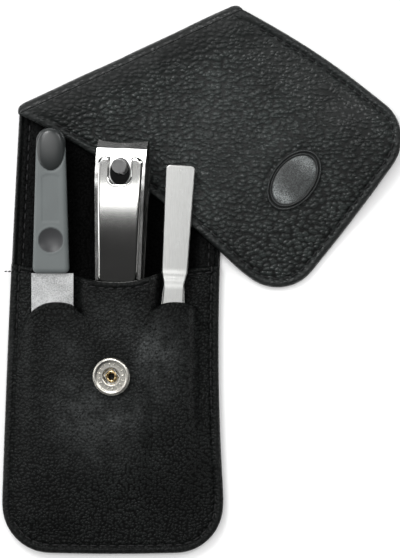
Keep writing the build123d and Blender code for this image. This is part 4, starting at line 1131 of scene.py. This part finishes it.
# %% The file's handle, with its knob and thumb dish
HANDLE_START, HANDLE_LENGTH, HANDLE_TOP, HANDLE_SHIFT = 75.4, 44.6, 3.4, -0.4
HANDLE_HALF, HANDLE_TIP_HALF = 5.65, 4.35
KNOB_Y, DISH_Y, DISH_RADIUS = 38.2, 10.2, 3.85
x, y, ways = tool_grid(between((0.0, HANDLE_HALF), (HANDLE_LENGTH, HANDLE_TIP_HALF)), (1.6, 4.1, 4.1, 1.6),
                       graded(11.0, rim=1.6, fine=0.16, coarse=0.3),
                       graded(46.0, rim=1.6, fine=0.16, coarse=0.35))
knob_share = np.hypot(x / 4.25, (y - KNOB_Y) / 6.5)
knob = 1.25 * np.sqrt(np.clip(1 - knob_share**2, 0.0, 1.0)) - 0.25 * bell(knob_share, 1.03, 0.05)
from_dish = np.hypot(x, y - DISH_Y)
dish_share = from_dish / DISH_RADIUS
dish = np.clip(1 - dish_share**2, 0.0, 1.0) - 0.08 * bell(dish_share, 1.06, 0.07)
arch_top = 29.5 + np.sqrt(np.clip(1 - (x / 2.9) ** 2, 0.0, 1.0))
inlay = smooth((2.9 - np.abs(x)) / 0.35) * smooth((arch_top - y) / 0.35) * smooth((y - 15.5) / 0.6)
bevel = edge_round(ways, 1.5, 1.3) * np.where(knob_share < 1.0, 0.55, 1.0)
level = HANDLE_TOP - bevel + knob - dish - 0.1 * inlay
top = laid(FILE_PLACE, x + HANDLE_SHIFT, y + HANDLE_START, level)
# the thumb dish is marked for painted shade, a darker grey in the handle's material
handle = sheet_mesh("file_handle_shell", top, HANDLE, 1.0, painted_sheen_and_shade=smooth((3.82 - from_dish) / 0.3 + 0.5))
handle.modifiers.clear()

# close the shell: a skirt all round its edge, and a flat underside
shell = bmesh.new()
shell.from_mesh(handle.data)
border = [edge for edge in shell.edges if edge.is_boundary]
down = FILE_PLACE.to_3x3() @ Vector((0.0, 0.0, -MM))
for drop in (1.6, 0.9):
    skirt = bmesh.ops.extrude_edge_only(shell, edges=border)["geom"]
    bmesh.ops.translate(shell, verts=[v for v in skirt if isinstance(v, bmesh.types.BMVert)], vec=down * drop)
    border = [edge for edge in skirt if isinstance(edge, bmesh.types.BMEdge) and edge.is_boundary]
bmesh.ops.holes_fill(shell, edges=border, sides=0)
bmesh.ops.recalc_face_normals(shell, faces=shell.faces)
back_to_tool = FILE_PLACE.inverted()
for face in shell.faces:
    face.smooth = len(face.verts) <= 4
    middle = back_to_tool @ (face.calc_center_median() / MM) - Vector((HANDLE_SHIFT, HANDLE_START, 0.0))
    in_knob = middle.y > 38.6 or math.hypot(middle.x / 4.3, (middle.y - KNOB_Y) / 6.6) < 1.0
    face.material_index = 1 if in_knob else 0
shell.to_mesh(handle.data)
shell.free()
handle.data.materials.append(KNOB)
fitted(handle, "file", "handle_plastic", "file_handle")
print("handle ready")

# %% The clipper's lever
LEVER_TAIL, LEVER_HEAD, LEVER_TAIL_HALF, LEVER_HALF = 20.0, 75.2, 5.5, 7.2
LEVER_FOOT = 6.44
SLOT_HALF, SLOT_FOOT, SLOT_CORNER = 3.4, 66.6, 2.6
rows = np.linspace(LEVER_TAIL, LEVER_HEAD, 111)
# the plate rises from its tail and bends down again towards its head, in three bows
slope = (0.0796 - 0.07 * smooth((rows - 46.0) / 18.0) - 0.03 * smooth((rows - 60.0) / 9.0)
         - 0.05 * smooth((rows - 66.0) / 8.0))
profile = LEVER_FOOT + np.concatenate([[0.0], np.cumsum(0.5 * (slope[1:] + slope[:-1]) * np.diff(rows))])
x, y, ways = tool_grid(between((LEVER_TAIL, LEVER_TAIL_HALF), (LEVER_HEAD, LEVER_HALF)), (2.4, 2.2, 2.2, 2.4),
                       graded(14.0, rim=1.4, fine=0.14, coarse=0.25),
                       graded(55.0, rim=2.0, fine=0.16, coarse=0.35),
                       head_bow=0.4)


def from_slot(x, y):
    """Distance outside the lever's U-shaped opening, negative inside it."""
    beyond_x = np.abs(x) - (SLOT_HALF - SLOT_CORNER)
    beyond_y = (SLOT_FOOT + SLOT_CORNER) - y
    corner = np.hypot(np.maximum(beyond_x, 0.0), np.maximum(beyond_y, 0.0)) - SLOT_CORNER
    return corner + np.minimum(np.maximum(beyond_x, beyond_y), 0.0)


slot_way = from_slot(x, y)
level = np.interp(y, rows, profile) - edge_round(ways, 1.0, 0.75) - 0.12 * (x / LEVER_HALF) ** 2
level = level - edge_round(np.clip(slot_way, 0.0, None), 0.7, 0.45) * (slot_way > -0.3)
top = laid(CLIPPER_PLACE, x, y, level)


def open_slot(mesh):
    """Takes out the opening's faces and moves the points round it onto its outline."""
    row_layer, column_layer = mesh.verts.layers.int["row"], mesh.verts.layers.int["column"]
    gone = [face for face in mesh.faces
            if np.mean([slot_way[v[row_layer], v[column_layer]] for v in face.verts]) < 0.0]
    bmesh.ops.delete(mesh, geom=gone, context="FACES")
    for vert in mesh.verts:
        row, column = vert[row_layer], vert[column_layer]
        px, py, way = x[row, column], y[row, column], slot_way[row, column]
        inner = 0 < column < x.shape[1] - 1 and row < x.shape[0] - 1
        if vert.is_boundary and inner and abs(way) < 0.45:
            tiny = 0.01
            gx = (from_slot(px + tiny, py) - from_slot(px - tiny, py)) / (2 * tiny)
            gy = (from_slot(px, py + tiny) - from_slot(px, py - tiny)) / (2 * tiny)
            vert.co = laid(CLIPPER_PLACE, px - gx * way, py - gy * way, level[row, column]) * MM


lever = sheet_mesh("lever_plate", top, LEVER_STEEL, 0.85, cuts=open_slot)
fitted(lever, "lever", "lever_steel", "clipper_lever")
print("lever ready")

# %% A painted shadow on the upper arm, seen through the lever's opening
SHADOW_MIDDLE, SHADOW_HALF = (0.0, 70.2, 8.2), (3.3, 4.2)
tree = UPPER_ARM_STEEL.node_tree
shader = tree.nodes["Principled BSDF"]
where = next(n for n in tree.nodes if n.type == "TEX_COORD").outputs["Object"]
offset = vectors(tree, "SUBTRACT", where, CLIPPER_PLACE @ Vector(SHADOW_MIDDLE) * MM)
scaled = vectors(tree, "MULTIPLY", offset, (1 / (SHADOW_HALF[0] * MM), 1 / (SHADOW_HALF[1] * MM), 0.0))
reach = node(tree, "ShaderNodeVectorMath", {0: scaled}, operation="LENGTH").outputs["Value"]
# painted shadow: inside this oval the arm is made nearly black and dull, standing for the shade below the
# lever's opening
painted_shadow_mask = mapped(tree, reach, 1.05, 0.92)
recoloured(UPPER_ARM_STEEL, painted_shadow_mask, (0.012, 0.012, 0.012))
duller = node(tree, "ShaderNodeMix", {0: painted_shadow_mask, 2: shader.inputs["Roughness"].links[0].from_socket, 3: 0.6})
feed(tree, shader, {"Roughness": duller.outputs[0]})
print("opening dark")

# %% The tweezers' front arm
BEND_Y, NECK_Y = TWEEZERS_LENGTH - 33.2, TWEEZERS_LENGTH - 33.2 - 3.4
BACK_ARM_TOP, ARM_SHEET, ARM_OPENING = 1.6, 1.0, math.radians(1.0)
HALF_WIDTHS = [(0.0, 0.9), (8.0, 2.0), (NECK_Y - 26.0, 2.9), (NECK_Y - 18.0, 3.3), (NECK_Y - 9.0, 3.35),
               (NECK_Y - 4.0, 3.15), (NECK_Y, 3.0), (NECK_Y + 1.7, 3.4), (BEND_Y, 3.9), (TWEEZERS_LENGTH, 4.55)]
rows = np.linspace(0.0, TWEEZERS_LENGTH, 200)
half_width = softened(np.interp(rows, *zip(*HALF_WIDTHS)), 12)
x, y, ways = tool_grid(list(zip(rows, half_width)), (0.5, 1.6, 1.6, 0.5),
                       graded(8.0, rim=0.9, fine=0.12, coarse=0.3),
                       graded(91.0, rim=1.6, fine=0.16, coarse=0.4))
step_up = 0.6 * (1 - smooth((y - NECK_Y) / (BEND_Y - NECK_Y))) * smooth(y / 14.0)
rib = 0.16 * bell(y, BEND_Y - 0.2, 0.7) - 0.14 * bell(y, NECK_Y + 0.2, 0.8)
opening = 0.05 + np.maximum(TWEEZERS_LENGTH - y, 0.0) * math.tan(ARM_OPENING)
bevel = edge_round(ways, 0.35, 0.3) + 0.05 * (x / 4.0) ** 2
level = BACK_ARM_TOP + ARM_SHEET + step_up + rib + opening - bevel
top = laid(TWEEZERS_PLACE, x, y, level)
arm = sheet_mesh("tweezers_front", top, TWEEZERS_STEEL, 0.95)
fitted(arm, "tweezers_front", "tweezers_steel", "tweezers_front_arm")
print("tweezers ready")

# %% The socket's shell and its brass eyelet
SOCKET_FOOT = (-0.4, -14.0, 11.6825)
SOCKET_RISE = math.atan(0.094)
MARKS, MARK_RADIUS, MARK_LEVEL = 16, 3.75, 1.58
SOCKET_PLACE = (Matrix.Translation(Vector(SOCKET_FOOT) * MM) @ Matrix.Rotation(CLIPPER_ROLL, 4, "Y")
                @ Matrix.Rotation(SOCKET_RISE, 4, "X") @ Matrix.Translation((0.0, 0.0, SEAT_GAP * MM)))


def turned_piece(name, profile, steps, material, marks=None):
    """A profile of (radius, height) turned once round the socket's axis. marks(mesh) may add to it."""
    mesh = bmesh.new()
    verts = [mesh.verts.new((radius * MM, 0.0, level * MM)) for radius, level in profile]
    edges = [mesh.edges.new(pair) for pair in zip(verts, verts[1:])]
    bmesh.ops.spin(mesh, geom=verts + edges, cent=(0.0, 0.0, 0.0), axis=(0.0, 0.0, 1.0), angle=math.tau,
                   steps=steps, use_merge=True)
    bmesh.ops.recalc_face_normals(mesh, faces=mesh.faces)
    if marks:
        marks(mesh)
    bmesh.ops.transform(mesh, matrix=SOCKET_PLACE, verts=mesh.verts)
    return mesh_piece(name, mesh, material)


def round_marks(mesh):
    """Small raised dashes round the plate, each a little different in width."""
    for i in range(MARKS):
        turn = Matrix.Rotation(math.tau * (i + 0.3) / MARKS, 4, "Z")
        place = turn @ Matrix.Translation(Vector((MARK_RADIUS, 0.0, MARK_LEVEL)) * MM)
        capsule(mesh, place, (0.55, 0.17 + 0.07 * math.sin(2.3 * i), 0.22))


def bow(middle, radii, first, last, step):
    """Part of an oval round a middle, from one angle to another, in degrees."""
    return [(middle[0] + radii[0] * math.cos(a), middle[1] + radii[1] * math.sin(a))
            for a in np.radians(np.arange(first, last, step))]


rim = [(5.42, 0.0)] + bow((5.3, 0.55), (0.54, 0.5), -60, 1, 20) + bow((5.15, 1.2), (0.69, 0.68), 0, 141, 14)
plate = [(4.55, 1.6), (4.4, 1.585), (3.2, 1.6), (2.95, 1.61), (2.75, 1.6), (2.6, 1.56), (2.5, 1.46),
         (2.43, 1.3), (2.42, 1.0)]
cap = turned_piece("socket_shell", rim + plate, 96, NICKEL, round_marks)
fitted(cap, "case", "nickel_plate", "snap_socket_cap")
tube = [(0.9, -0.4), (0.92, 0.6), (0.98, 0.85)] + bow((1.43, 0.9), (0.45, 0.42), 170, -21, -19)
tube += [(1.78, 0.6), (1.6, 0.3), (1.5, -0.4)]
eyelet = turned_piece("socket_eyelet", tube, 64, BRASS)
fitted(eyelet, "case", "eyelet_brass", "snap_socket_eyelet")
print("socket ready")
